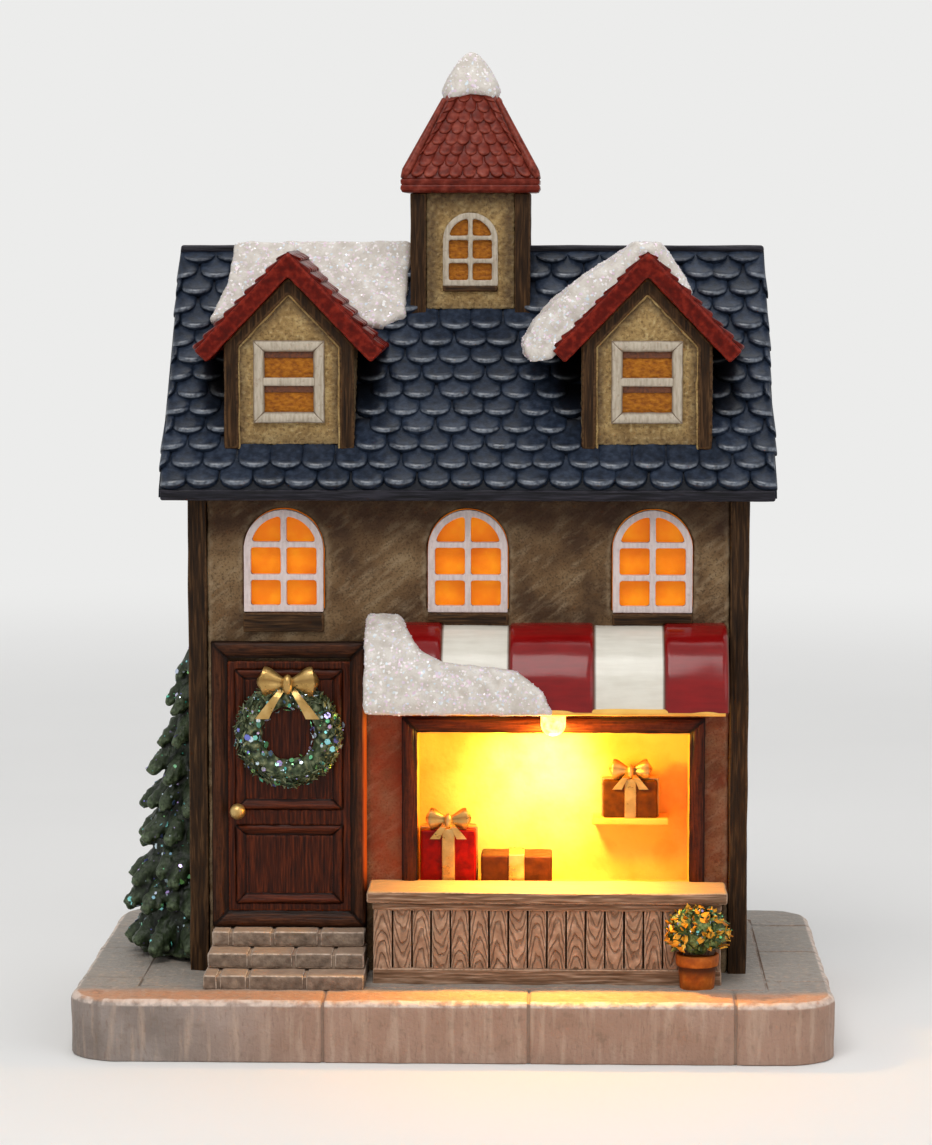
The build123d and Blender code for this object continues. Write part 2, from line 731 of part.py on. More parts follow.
with BuildPart() as turret_roof:
    with Locations((house_x, ridge_y, turret_eave_z)):
        Box(turret_roof_width, turret_roof_depth, turret_fascia, align=standing)
    course_rise = turret_roof_height / turret_courses
    for course in range(turret_courses):
        low_z = turret_roof_foot_z + course * course_rise
        low_share = 1 - course * course_rise / turret_roof_rise
        high_share = 1 - (course + 1) * course_rise / turret_roof_rise
        butt = turret_tile_butt if course else 0
        with BuildSketch(Plane((house_x, ridge_y, low_z))):
            Rectangle(turret_roof_width * low_share + 2 * butt, turret_roof_depth * low_share + 2 * butt)
        with BuildSketch(Plane((house_x, ridge_y, low_z + course_rise))):
            Rectangle(turret_roof_width * high_share, turret_roof_depth * high_share)
        loft()
save(turret_roof, "turret_roof")

# Snow cap over the cut-off top of the turret's roof
with BuildPart() as turret_snow_cap:
    cap_z = turret_roof_foot_z + turret_roof_height - snow_cap_lip
    cap_share = 1 - (turret_roof_height - snow_cap_lip) / turret_roof_rise
    cap_width = turret_roof_width * cap_share + 2 * snow_cap_thickness
    cap_depth = turret_roof_depth * cap_share + 2 * snow_cap_thickness
    for height_share, size_share in snow_cap_shares:
        with BuildSketch(Plane((house_x, ridge_y, cap_z + height_share * snow_cap_height))):
            RectangleRounded(cap_width * size_share, cap_depth * size_share, cap_depth * size_share / 3)
    loft()
    add(turret_roof.part, mode=Mode.SUBTRACT)
save(turret_snow_cap, "turret_snow_cap")

# Snow on the left half of the main roof, lying on the tiles and round the left dormer
with BuildPart() as roof_snow:
    slope_plane = Plane(origin=(house_x, ridge_y, ridge_z), x_dir=(1, 0, 0),
                        z_dir=(0, -math.sin(roof_angle), math.cos(roof_angle)))
    with BuildSketch(slope_plane):
        closed_face([(across * eave_length, down * slope_length) for across, down in roof_snow_shares])
    extrude(amount=roof_snow_thickness)
    add(roof_body.part, mode=Mode.SUBTRACT)
    for neighbour in (left_dormer, turret_posts, turret_body):
        add(neighbour.part, mode=Mode.SUBTRACT)
save(roof_snow, "roof_snow")

# Snow on the left half of the awning
with BuildPart() as awning_snow:
    snow_length = counter_length * awning_snow_length_share
    with BuildSketch(Plane.YZ.offset(counter_left_x)):
        awning_profile(awning_stripe_proud + awning_snow_thickness)
    extrude(amount=snow_length)
    with BuildSketch(front_plane(counter_left_x, front_y, awning_z)):
        closed_face([(0, 0)] + [(along * snow_length, up * awning_height)
                                for along, up in awning_snow_shares])
    extrude(amount=awning_projection + awning_snow_thickness + overrun, mode=Mode.INTERSECT)
    with BuildSketch(Plane.YZ.offset(counter_left_x - overrun)):
        awning_profile(awning_stripe_proud)
    extrude(amount=snow_length + 2 * overrun, mode=Mode.SUBTRACT)
    add(window_sills.part, mode=Mode.SUBTRACT)
save(awning_snow, "awning_snow")

# Front steps
with BuildPart() as front_steps:
    for step in range(step_count):
        below = step_count - 1 - step
        step_width = door_frame_width + 2 * step_spread * below
        with Locations((door_x, front_y, base_top + step * step_rise)):
            Box(step_width, step_tread * (below + 1), step_rise, align=on_wall)
save(front_steps, "front_steps")

# Door frame and door leaf
with BuildPart() as door_frame:
    with BuildSketch(front_plane(door_x, front_y, door_foot_z)):
        with Locations((0, door_frame_height / 2)):
            Rectangle(door_frame_width, door_frame_height)
        with Locations((0, door_frame_foot + leaf_height / 2)):
            Rectangle(leaf_width, leaf_height, mode=Mode.SUBTRACT)
    extrude(amount=door_frame_proud)
save(door_frame, "door_frame")

with BuildPart() as door_leaf:
    panel_width = leaf_width - 2 * door_panel_margin
    with BuildSketch(front_plane(door_x, front_y, leaf_z + leaf_height / 2)):
        Rectangle(leaf_width - 2 * fit_gap, leaf_height - 2 * fit_gap)
    extrude(amount=door_leaf_thickness)
    for panel_z, panel_height in ((lower_panel_z, lower_panel_height), (upper_panel_z, upper_panel_height)):
        with BuildSketch(front_plane(door_x, leaf_face_y, panel_z + panel_height / 2)):
            Rectangle(panel_width, panel_height)
            Rectangle(panel_width - 2 * door_moulding, panel_height - 2 * door_moulding, mode=Mode.SUBTRACT)
        extrude(amount=-door_panel_depth, mode=Mode.SUBTRACT)
save(door_leaf, "door_leaf")

with BuildPart() as door_knob:
    knob_x = door_x - leaf_width / 2 + knob_inset
    knob_z = lock_rail_z + lock_rail_height
    with BuildSketch(front_plane(knob_x, leaf_face_y, knob_z)):
        Circle(knob_neck_radius)
    extrude(amount=knob_neck_length + knob_radius)
    with Locations((knob_x, leaf_face_y - knob_neck_length - knob_radius, knob_z)):
        Sphere(knob_radius)
save(door_knob, "door_knob")

# Wreath on the door's upper panel, and its ribbon bow
with BuildPart() as door_wreath:
    with Locations(front_plane(door_x, leaf_face_y, wreath_z)):
        Torus(wreath_radius, wreath_tube_radius)
    split(bisect_by=front_plane(door_x, leaf_face_y, wreath_z), keep=Keep.TOP)
save(door_wreath, "door_wreath")

with BuildPart() as wreath_bow:
    with BuildSketch(front_plane(door_x, leaf_face_y, wreath_z + bow_lift)):
        bow_outline(bow_width, bow_height)
        with BuildLine():
            Polyline((0, 0), (-bow_width / 3, -bow_tail_length), (-bow_width / 8, -bow_tail_length),
                     (0, -bow_height / 2), (bow_width / 8, -bow_tail_length),
                     (bow_width / 3, -bow_tail_length), close=True)
        make_face()
    extrude(amount=bow_depth)
    add(door_wreath.part, mode=Mode.SUBTRACT)
save(wreath_bow, "wreath_bow")

# Counter: planked front between end boards, and its top
with BuildPart() as counter_front:
    body_length = counter_length - 2 * counter_top_overhang
    mould_z = base_top + counter_body_height - bed_mould_height
    skirting_z = base_top + skirting_height
    with BuildSketch(Plane.YZ.offset(counter_left_x + counter_top_overhang)):
        closed_face([
            (front_y, base_top), (front_y - plank_face - skirting_proud, base_top),
            (front_y - plank_face - skirting_proud, skirting_z), (front_y - plank_face, skirting_z),
            (front_y - plank_face, mould_z), (front_y - plank_face - bed_mould_proud, mould_z),
            (front_y - plank_face - bed_mould_proud, base_top + counter_body_height),
            (front_y, base_top + counter_body_height),
        ])
    extrude(amount=body_length)
    planked_length = body_length - 2 * end_board_width
    plank_pitch = planked_length / plank_count
    with Locations((counter_x, front_y - plank_face, (skirting_z + mould_z) / 2)):
        with GridLocations(plank_pitch, 0, plank_count + 1, 1):
            Box(plank_groove, 2 * plank_groove, mould_z - skirting_z, mode=Mode.SUBTRACT)
save(counter_front, "counter_front")

with BuildPart() as counter_top:
    with Locations((counter_x, front_y, counter_z - counter_top_thickness)):
        Box(counter_length, counter_projection, counter_top_thickness, align=on_wall)
    fillet(counter_top.edges().filter_by(Axis.X).group_by(Axis.Y)[0], counter_top_edge)
save(counter_top, "counter_top")

# Shop niche: a box open to the front, set into the wall behind its frame
with BuildPart() as shop_niche:
    with Locations((shop_x, front_y, niche_floor_z - niche_wall)):
        Box(shop_opening_width + 2 * niche_wall, niche_depth + niche_wall, niche_height + 2 * niche_wall,
            align=reaching_back)
    with Locations((shop_x, front_y, niche_floor_z)):
        Box(shop_opening_width, niche_depth, niche_height, align=reaching_back, mode=Mode.SUBTRACT)
save(shop_niche, "shop_niche")

with BuildPart() as shop_frame:
    with BuildSketch(front_plane(shop_x, front_y, counter_z)):
        with Locations((0, (shop_opening_height + shop_frame_bar) / 2)):
            Rectangle(shop_opening_width + 2 * shop_frame_post, shop_opening_height + shop_frame_bar)
        with Locations((0, shop_opening_height / 2)):
            Rectangle(shop_opening_width, shop_opening_height, mode=Mode.SUBTRACT)
    extrude(amount=shop_frame_proud)
save(shop_frame, "shop_frame")

with BuildPart() as shop_shelf:
    with Locations((shelf_x, niche_back_y, shelf_z - shelf_thickness)):
        Box(shelf_width, shelf_depth, shelf_thickness, align=on_wall)
save(shop_shelf, "shop_shelf")

# Wrapped gifts: a box, a crossed ribbon and, on two of them, a bow
gifts_front_y = front_y + gift_setback
red_gift_x = niche_left_x + gift_gap + ribbon_thickness + red_gift_width / 2
flat_gift_x = red_gift_x + (red_gift_width + flat_gift_width) / 2 + gift_gap + 2 * ribbon_thickness
gold_gift_y = niche_back_y - shelf_depth + ribbon_thickness
gift_list = (
    ("gift_red", red_gift_x, gifts_front_y, niche_floor_z, red_gift_width, gift_depth, red_gift_height,
     red_ribbon_width, red_bow_width, red_bow_height),
    ("gift_flat", flat_gift_x, gifts_front_y, niche_floor_z, flat_gift_width, gift_depth, flat_gift_height,
     flat_ribbon_width, 0, 0),
    ("gift_gold", shelf_x, gold_gift_y, shelf_z, gold_gift_width, gold_gift_depth, gold_gift_height,
     gold_ribbon_width, gold_bow_width, gold_bow_height),
)
for name, gift_x, near_y, foot_z, width, depth, height, ribbon, bow_across, bow_rise in gift_list:
    with BuildPart() as gift:
        with Locations((gift_x, near_y + depth / 2, foot_z)):
            Box(width, depth, height, align=standing)
            Box(ribbon, depth + 2 * ribbon_thickness, height + ribbon_thickness, align=standing)
            Box(width + 2 * ribbon_thickness, ribbon, height + ribbon_thickness, align=standing)
        if bow_across:
            with BuildSketch(front_plane(gift_x, near_y + (depth - gift_bow_depth) / 2,
                                         foot_z + height + bow_rise / 2)):
                bow_outline(bow_across, bow_rise)
            extrude(amount=-gift_bow_depth)
    save(gift, name)

# Plant pot and its bush, cast against the counter
with BuildPart() as plant_pot:
    with BuildSketch(Plane.XZ.offset(-pot_y)):
        rim_z = base_top + pot_height - pot_rim_height
        closed_face([
            (pot_x, base_top), (pot_x + pot_foot_radius, base_top), (pot_x + pot_mouth_radius, rim_z),
            (pot_x + pot_rim_radius, rim_z), (pot_x + pot_rim_radius, base_top + pot_height),
            (pot_x, base_top + pot_height),
        ])
    revolve(axis=Axis((pot_x, pot_y, 0), (0, 0, 1)))
    add(counter_front.part, mode=Mode.SUBTRACT)
save(plant_pot, "plant_pot")

with BuildPart() as plant_bush:
    bush_z = base_top + pot_height + bush_radius
    lump_ring_radius = bush_radius - bush_lump_radius / 3
    with Locations((pot_x, pot_y, bush_z)):
        Sphere(bush_radius)
        for tilt in (0, 1):
            with Locations((0, 0, (tilt - 1 / 3) * bush_radius / 2)):
                with PolarLocations(lump_ring_radius, bush_lump_count, start_angle=tilt * 180):
                    Sphere(bush_lump_radius)
    for neighbour in (plant_pot, counter_front, counter_top):
        add(neighbour.part, mode=Mode.SUBTRACT)
save(plant_bush, "plant_bush")

# Half tree cast against the left wall: drooping tiers that narrow towards the tip
with BuildPart() as christmas_tree:
    boughs_height = tree_height - tree_trunk_height
    tier_height = boughs_height / tree_tiers
    outline = [(0, base_top), (tree_trunk_radius, base_top),
               (tree_trunk_radius, base_top + tree_trunk_height + tree_droop)]
    for tier in range(tree_tiers):
        tip_radius = tree_radius * (1 - tier / tree_tiers) ** tree_taper_power
        next_radius = tree_radius * (1 - (tier + 1) / tree_tiers) ** tree_taper_power
        tip_z = base_top + tree_trunk_height + tier * tier_height
        outline.append((tip_radius, tip_z))
        outline.append((next_radius * tree_root_share, tip_z + tier_height + tree_droop))
    outline[-1] = (0, base_top + tree_height)
    with BuildSketch(Plane((left_wall_x, tree_y, 0), x_dir=(0, -1, 0), z_dir=(-1, 0, 0))):
        closed_face(outline)
    revolve(axis=Axis((left_wall_x, tree_y, 0), (0, 0, -1)), revolution_arc=180)
    add(corner_posts.part, mode=Mode.SUBTRACT)
save(christmas_tree, "christmas_tree")

# Battery tray: a flange glued under the base, with a bay for the cells
with BuildPart() as battery_tray:
    with Locations((flange_x, tray_y, underside_recess)):
        Box(flange_length, flange_width, flange_thickness, align=standing)
    with Locations((bay_x, tray_y, flange_z)):
        Box(bay_length + 2 * tray_wall, bay_width + 2 * tray_wall, bay_roof_z + tray_wall - flange_z,
            align=standing)
    with Locations((bay_x, tray_y, bay_roof_z)):
        Box(bay_length, bay_width, bay_roof_z, align=hanging, mode=Mode.SUBTRACT)
    with BuildSketch(Plane((bay_x, hinge_y, hinge_z), x_dir=(0, 1, 0), z_dir=(1, 0, 0))):
        Circle(hinge_pin_radius + hinge_pin_gap)
    pin_reach = bay_length / 2 + hinge_pin_length
    extrude(amount=pin_reach, both=True, mode=Mode.SUBTRACT)
    with Locations((bay_x, tray_y - bay_width / 2, underside_recess)):
        Box(latch_width + 2 * run_gap, 2 * (latch_length + run_gap), 2 * (latch_thickness + run_gap),
            mode=Mode.SUBTRACT)
    with Locations((switch_x, tray_y, underside_recess)):
        Box(slider_stem_length + slider_travel + 2 * run_gap, slider_stem_width + 2 * run_gap,
            2 * (flange_thickness + overrun), mode=Mode.SUBTRACT)
save(battery_tray, "battery_tray")

# Battery door: hinged on two pins along its rear edge, with a latch tab at the front
with BuildPart() as battery_door:
    door_length = bay_length - 2 * run_gap
    front_edge_y = tray_y - bay_width / 2 + run_gap
    with BuildSketch(Plane((bay_x, hinge_y, hinge_z), x_dir=(0, 1, 0), z_dir=(1, 0, 0))):
        with Locations(((front_edge_y - hinge_y) / 2, 0)):
            Rectangle(hinge_y - front_edge_y, battery_door_thickness)
        Circle(hinge_radius)
    extrude(amount=door_length / 2, both=True)
    with BuildSketch(Plane((bay_x, hinge_y, hinge_z), x_dir=(0, 1, 0), z_dir=(1, 0, 0))):
        Circle(hinge_pin_radius)
    extrude(amount=bay_length / 2 + hinge_pin_length - run_gap, both=True)
    with Locations((bay_x, front_edge_y, underside_recess)):
        Box(latch_width, latch_length, latch_thickness, align=on_wall)
save(battery_door, "battery_door")

# Two cells side by side, facing opposite ways
with BuildPart() as battery_cells:
    for way in (-1, 1):
        start_x = bay_x - way * (cell_length + cell_button_length) / 2
        cell_start = (start_x, tray_y + way * cell_offset, cell_z)
        for radius, length in ((cell_diameter / 2, cell_length),
                               (cell_button_radius, cell_length + cell_button_length)):
            with BuildSketch(Plane(cell_start, x_dir=(0, 1, 0), z_dir=(way, 0, 0))):
                Circle(radius)
            extrude(amount=length)
save(battery_cells, "battery_cells")

# Contacts at the cells' ends: a plate with a pressed stud, and a plate with a bent leaf
with BuildPart() as battery_contacts:
    stud_length = contact_room - fit_gap
    for way in (-1, 1):
        cell_y = tray_y + way * cell_offset
        for end in (-1, 1):
            plate_x = bay_x + end * bay_length / 2
            with BuildSketch(Plane((plate_x, cell_y, cell_z), x_dir=(0, 1, 0), z_dir=(-end, 0, 0))):
                Rectangle(contact_width, contact_height)
            extrude(amount=contact_sheet)
            if end == way:
                with BuildSketch(Plane((plate_x, cell_y, cell_z), x_dir=(0, 1, 0), z_dir=(-end, 0, 0))):
                    Circle(cell_button_radius)
                extrude(amount=stud_length)
            else:
                with BuildSketch(Plane((plate_x, cell_y - contact_width / 2, cell_z), x_dir=(-end, 0, 0),
                                       z_dir=(0, -end, 0))):
                    leaf_tip = stud_length - contact_sheet
                    leaf_head = contact_height / 2
                    leaf_foot = -contact_height / 3
                    closed_face([
                        (0, leaf_head), (contact_sheet, leaf_head), (stud_length, 0),
                        (contact_sheet, leaf_foot), (contact_sheet, leaf_foot + contact_sheet), (leaf_tip, 0),
                        (contact_sheet, leaf_head - contact_sheet), (0, leaf_head - contact_sheet),
                    ])
                extrude(amount=-end * contact_width)
save(battery_contacts, "battery_contacts")

# Slide switch on the flange: its case, and the slider that moves in it
with BuildPart() as switch_body:
    with Locations((switch_x, tray_y, flange_z)):
        Box(switch_length, switch_width, switch_height, align=standing)
        Box(slider_length + slider_travel + 2 * run_gap, slider_width + 2 * run_gap,
            slider_thickness + 2 * run_gap, align=standing, mode=Mode.SUBTRACT)
save(switch_body, "switch_body")

with BuildPart() as switch_slider:
    with Locations((slider_rest_x, tray_y, flange_z + run_gap)):
        Box(slider_length, slider_width, slider_thickness, align=standing)
        Box(slider_stem_length, slider_stem_width, flange_thickness + run_gap + slider_drop, align=hanging)
save(switch_slider, "switch_slider")

# Lamp sockets: a round cup on a square tail. The shop lamp hangs, the window lamp stands.
lamp_list = (
    ("shop_lamp", shop_x, shop_lamp_y, shop_socket_top_z + socket_tail_height, -1),
    ("window_lamp", window_lamp_x, window_lamp_y, niche_top_z, 1),
)
for name, lamp_x, lamp_y, tail_z, way in lamp_list:
    cup_z = tail_z + way * socket_tail_height
    bulb_z = cup_z + way * socket_length

    with BuildPart() as socket:
        with BuildSketch(Plane((lamp_x, lamp_y, tail_z), x_dir=(1, 0, 0), z_dir=(0, 0, way))):
            Rectangle(socket_tail, socket_tail)
        extrude(amount=socket_tail_height)
        with BuildSketch(Plane((lamp_x, lamp_y, cup_z), x_dir=(1, 0, 0), z_dir=(0, 0, way))):
            Circle(socket_diameter / 2)
        extrude(amount=socket_length)
    save(socket, f"{name}_socket")

    with BuildPart() as bulb:
        with BuildSketch(Plane((lamp_x, lamp_y, bulb_z), x_dir=(1, 0, 0), z_dir=(0, 0, way))):
            Circle(lamp_diameter / 2)
        extrude(amount=lamp_barrel)
        with Locations((lamp_x, lamp_y, bulb_z + way * lamp_barrel)):
            Sphere(lamp_diameter / 2)
        split(bisect_by=Plane((lamp_x, lamp_y, bulb_z), z_dir=(0, 0, way)), keep=Keep.TOP)
    save(bulb, f"{name}_bulb")

# Leads inside the house: from each lamp down to the switch, and from the tray to the switch
tray_end_x = bay_right_x + tray_wall
switch_end_x = switch_x - switch_length / 2
lead_room_y = niche_back_y + niche_wall + socket_diameter
lead_routes = [
    [
        (shop_x, shop_lamp_y + socket_tail / 2, shop_lead_z), (shop_x, window_lamp_y, shop_lead_z),
        (shop_x, lead_room_y, niche_top_z), (switch_x, tray_y, counter_z + counter_height),
        (switch_x + lead_spacing / 2, tray_y, counter_z), (switch_x + lead_spacing / 2, tray_y, switch_top_z),
    ],
    [
        (window_lamp_x, window_lamp_y + socket_tail / 2, window_lead_z),
        (window_lamp_x, lead_room_y, window_lead_z), (shop_x, tray_y, niche_floor_z + counter_height),
        (switch_x - lead_spacing / 2, tray_y, counter_z), (switch_x - lead_spacing / 2, tray_y, switch_top_z),
    ],
]
with BuildPart() as lamp_leads:
    for route in lead_routes:
        radii = route_radii(route)
        print("lead bends, mm:", [round(radius, 1) for radius in radii])
        with BuildLine() as lead_path:
            FilletPolyline(*route, radius=radii)
        with BuildSketch(Plane(origin=lead_path.line @ 0, z_dir=lead_path.line % 0)):
            Circle(lead_diameter / 2)
        sweep(path=lead_path.line)
    for side in (-1, 1):
        lead_origin = (tray_end_x, tray_y + side * lead_spacing / 2, flange_z + switch_height / 2)
        with BuildSketch(Plane(lead_origin, x_dir=(0, 1, 0), z_dir=(1, 0, 0))):
            Circle(lead_diameter / 2)
        extrude(amount=switch_end_x - tray_end_x)
save(lamp_leads, "lamp_leads")
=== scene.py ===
"""Looks of a lit Christmas village house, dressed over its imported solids.

Metres, in the solids' own frame: +Z is up and the shop front faces -Y. Sizes are written in
millimetres times mm, places come from the boxes of the solids, and texture sizes are millimetres.
"""

import math

import bmesh
import bpy
import numpy as np
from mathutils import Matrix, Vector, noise


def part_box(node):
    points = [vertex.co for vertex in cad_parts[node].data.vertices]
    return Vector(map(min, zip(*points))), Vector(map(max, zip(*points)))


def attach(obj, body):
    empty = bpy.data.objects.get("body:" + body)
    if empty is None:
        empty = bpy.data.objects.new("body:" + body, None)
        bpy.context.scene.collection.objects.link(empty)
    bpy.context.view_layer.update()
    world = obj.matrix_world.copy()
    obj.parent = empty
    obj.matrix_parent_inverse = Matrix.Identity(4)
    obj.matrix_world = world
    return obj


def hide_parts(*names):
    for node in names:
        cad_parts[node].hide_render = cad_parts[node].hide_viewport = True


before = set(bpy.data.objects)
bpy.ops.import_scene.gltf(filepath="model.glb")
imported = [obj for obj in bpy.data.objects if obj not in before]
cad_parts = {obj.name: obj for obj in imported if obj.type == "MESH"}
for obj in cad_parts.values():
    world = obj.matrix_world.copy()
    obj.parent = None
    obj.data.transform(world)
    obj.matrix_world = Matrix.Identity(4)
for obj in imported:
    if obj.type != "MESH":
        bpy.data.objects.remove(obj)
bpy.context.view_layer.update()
draw = np.random.default_rng(24)
mm = 0.001

# Camera, fitted to the photograph
camera_place = (0.022565, -0.732366, 0.164031)
camera_tilt = 84.355
camera_turn = 1.635
camera_lens = 112.34
camera_sensor = 36.0

# Pale floor that fades into the background away from the object, in metres
floor_half = 6.0
fade_start = 0.3
fade_end = 0.9

# Soft studio lights: name, place, size, power and colour; and the place they are turned to
studio_lights = (
    ("key", (-0.2, -0.75, 1.1), 0.7, 8.0, (1.0, 0.99, 0.97)),
    ("fill", (0.8, -0.7, 0.6), 0.8, 2.2, (0.97, 0.98, 1.0)),
    ("top", (0.1, 0.25, 1.1), 0.6, 2.2, (1.0, 1.0, 1.0)),
)
studio_aim = (0.0, 0.0, 0.09)
world_colour = (0.97, 0.98, 1.0, 1.0)
world_strength = 0.45

# Lights of the shop lamp: name, kind, power, colour, cone, tilt and turn in degrees
shop_lights = (
    ("shop_glow", "POINT", 0.065, (1.0, 0.56, 0.06), 180, 0, 0),
    ("shop_beam", "SPOT", 0.17, (1.0, 0.76, 0.42), 84, 66, 8),
    ("shop_spill", "SPOT", 0.32, (1.0, 0.54, 0.1), 112, -6, 0),
)
shop_light_radius = 2.2 * mm
shop_light_drop = 3 * mm  # below the bulb

# Casting from a solid: mesh size, rounds of softening, unevenness, and the size and stretch of its lumps
even = (1, 1, 1)
cast_sizes = {
    "stucco": (0.35 * mm, 2, 0.24 * mm, 0.75 * mm, even),
    "dormer_timber": (0.3 * mm, 3, 0.12 * mm, 1.5 * mm, (1, 1, 3)),
    "dormer_board": (0.4 * mm, 4, 0.1 * mm, 2.0 * mm, even),
    "turret_timber": (0.3 * mm, 3, 0.12 * mm, 1.2 * mm, (1, 1, 4)),
    "turret_lattice": (0.2 * mm, 3, 0.05 * mm, 1.0 * mm, even),
    "roof_snow": (0.35 * mm, 14, 0.3 * mm, 2.2 * mm, even),
    "dormer_snow": (0.35 * mm, 10, 0.3 * mm, 2.2 * mm, even),
    "awning_snow": (0.35 * mm, 14, 0.25 * mm, 2.2 * mm, even),
    "plaster": (0.75 * mm, 1, 0.22 * mm, 2.2 * mm, (3, 3, 1)),
    "post": (0.4 * mm, 3, 0.2 * mm, 1.6 * mm, (1, 1, 6)),
    "sill": (0.25 * mm, 3, 0.12 * mm, 1.2 * mm, (5, 1, 1)),
    "window_lattice": (0.22 * mm, 3, 0.04 * mm, 1.0 * mm, even),
    "door": (0.3 * mm, 2, 0.1 * mm, 1.2 * mm, (1, 1, 8)),
    "knob": (0.2 * mm, 2, 0.0, 1.0 * mm, even),
    "wreath": (0.3 * mm, 2, 0.4 * mm, 1.2 * mm, even),
    "bush": (0.4 * mm, 2, 0.5 * mm, 1.4 * mm, even),
}

# Rounded blocks: rounding, mesh step, unevenness, and the size and stretch of its lumps
block_sizes = {
    "ridge": (0.7 * mm, 1.2 * mm, 0.12 * mm, 1.0 * mm, 6),
    "eaves": (0.5 * mm, 1.2 * mm, 0.1 * mm, 1.0 * mm, 6),
    "window_bar": (0.4 * mm, 1.2 * mm, 0.05 * mm, 1.0 * mm, 6),
    "shadow_strip": (0.15 * mm, 1.2 * mm, 0.05 * mm, 1.0 * mm, 6),
    "brick": (0.6 * mm, 1.2 * mm, 0.16 * mm, 1.8 * mm, 2),
    "mortar": (0.2 * mm, 1.2 * mm, 0.0, 1.0 * mm, 6),
    "shelf": (0.35 * mm, 1.2 * mm, 0.1 * mm, 1.0 * mm, 6),
    "counter": (0.6 * mm, 0.9 * mm, 0.16 * mm, 1.2 * mm, 8),
    "plank": (0.4 * mm, 0.8 * mm, 0.14 * mm, 1.0 * mm, 8),
    "skirting": (0.5 * mm, 1.2 * mm, 0.14 * mm, 1.0 * mm, 6),
    "mould": (0.5 * mm, 1.2 * mm, 0.1 * mm, 1.0 * mm, 6),
    "counter_body": (0.3 * mm, 1.2 * mm, 0.0, 1.0 * mm, 6),
    "paper": (0.5 * mm, 0.8 * mm, 0.1 * mm, 2.0 * mm, 1),
    "ribbon": (0.2 * mm, 1.2 * mm, 0.05 * mm, 1.0 * mm, 6),
}
weld_gap = 0.0005 * mm  # points closer than this become one

# Main roof with its slate tiles
roof_fascia = 1.6 * mm
slate_rows = 14
slate_width = 6.6 * mm
slate_butt = 1.6 * mm
foot_room = 1.3 * mm  # a tile that shows less than this before a dormer is left out
valley_room = 2.5 * mm  # how far a tile beside a dormer may reach under its roof
tile_overlap_share = 2.0  # a tile's length over the visible pitch
slate_round_share = 0.36  # of a tile's width, how far its end is rounded
red_round_share = 0.5
roof_lean = 1.2 * mm  # how far the gable ends lean in at the ridge
roof_lip = 3 * mm
roof_thickness = 8 * mm
ridge_half = 1.1 * mm
ridge_sunk = 0.8 * mm
ridge_proud = 0.7 * mm
eaves_short = 0.3 * mm  # of the roof's ends
eaves_before = 0.5 * mm
eaves_behind = 0.9 * mm
eaves_below = 0.6 * mm

# Dormers and turret with their red tiles
dormer_fall = 19.6 * mm  # from a dormer's ridge to its eaves
dormer_board = 3.4 * mm
dormer_rafter = 3.4 * mm
dormer_post = 2.9 * mm
dormer_rows = 9
dormer_tile_width = 4.4 * mm
dormer_tile_butt = 0.85 * mm
barge_board = 0.4 * mm  # how far the tiles stay behind the board's face
dormer_tile_bury = 4 * mm  # how deep a tile may lie under the main roof
edge_line_proud = 0.15 * mm
edge_line_waver = 0.08 * mm
edge_line_radius = 0.32 * mm
casement_border = 2.2 * mm
casement_bar = 0.85 * mm
casement_bar_sunk = 0.2 * mm
# Dark strips that stand for the shadow at the heads of the dormer panes: how far they stand out, their height
# and how far they hide under the rail
shadow_strip_proud = 0.25 * mm
shadow_strip_height = 1.3 * mm
shadow_strip_hidden = 0.2 * mm
turret_rows = 8
turret_post = 3.6 * mm
# Widths of the painted shade on the stucco and of the dormers' painted shadow on the main roof
painted_shade_width = 2.6 * mm
dormer_shadow_width = 7.5 * mm
turret_tile_width = 2.8 * mm
turret_tile_butt = 0.6 * mm
turret_tile_inset = 1.0 * mm
turret_fascia = 3.0 * mm
turret_roof_rise = 26.6 * mm
# The rolled fascia: height and how far it stands out, as shares of the fascia's height
fascia_roll_shares = ((0.0, -0.13), (0.04, 0.03), (0.27, 0.16), (0.48, 0.13), (0.55, 0.06), (0.62, 0.13),
                      (0.85, 0.15), (0.97, 0.04), (1.0, -0.06))
hip_radius = 1.0 * mm
cap_size_share = 0.9  # of the solid under it
turret_top_share = 0.66  # of the roof's rise, where it ends under the snow
hip_end_share = 0.6

# Snow on the right dormer: run along its slopes from the ridge (left is below zero) and thickness, in mm
dormer_snow_line = (
    (-28.6, -0.8), (-31.6, 1.6), (-31.8, 3.4), (-30, 5.4), (-25.5, 6.4), (-19, 6.5), (-11.3, 5.3),
    (-4.9, 3.8), (-0.5, 3.2), (0.5, 3.0), (4.9, 2.5), (9.5, 1.7), (12, 0.8), (12.9, -0.8), (0.1, -1.2),
    (-0.1, -1.2),
)
# Its rows from the front: setback in mm and share of that thickness
dormer_snow_rows = ((1.0, 0.55), (2.2, 1.0), (7.0, 1.1), (13.0, 1.05), (18.0, 0.9), (20.5, 0.6), (21.5, 0.3))
roof_snow_grow = 0.5 * mm  # thicker than its solid
awning_snow_grow = 0.4 * mm
# Snow cap of the turret: height and width as shares of its size
cap_shares = ((0.1, 0.5), (0.0, 0.94), (0.05, 1.04), (0.16, 1.08), (0.3, 1.02), (0.45, 0.9), (0.6, 0.74),
              (0.74, 0.57), (0.86, 0.39), (0.95, 0.22), (0.99, 0.08))
cap_wave = 1.1 * mm
cap_ripple = 0.3 * mm
cap_lump = 2.4 * mm

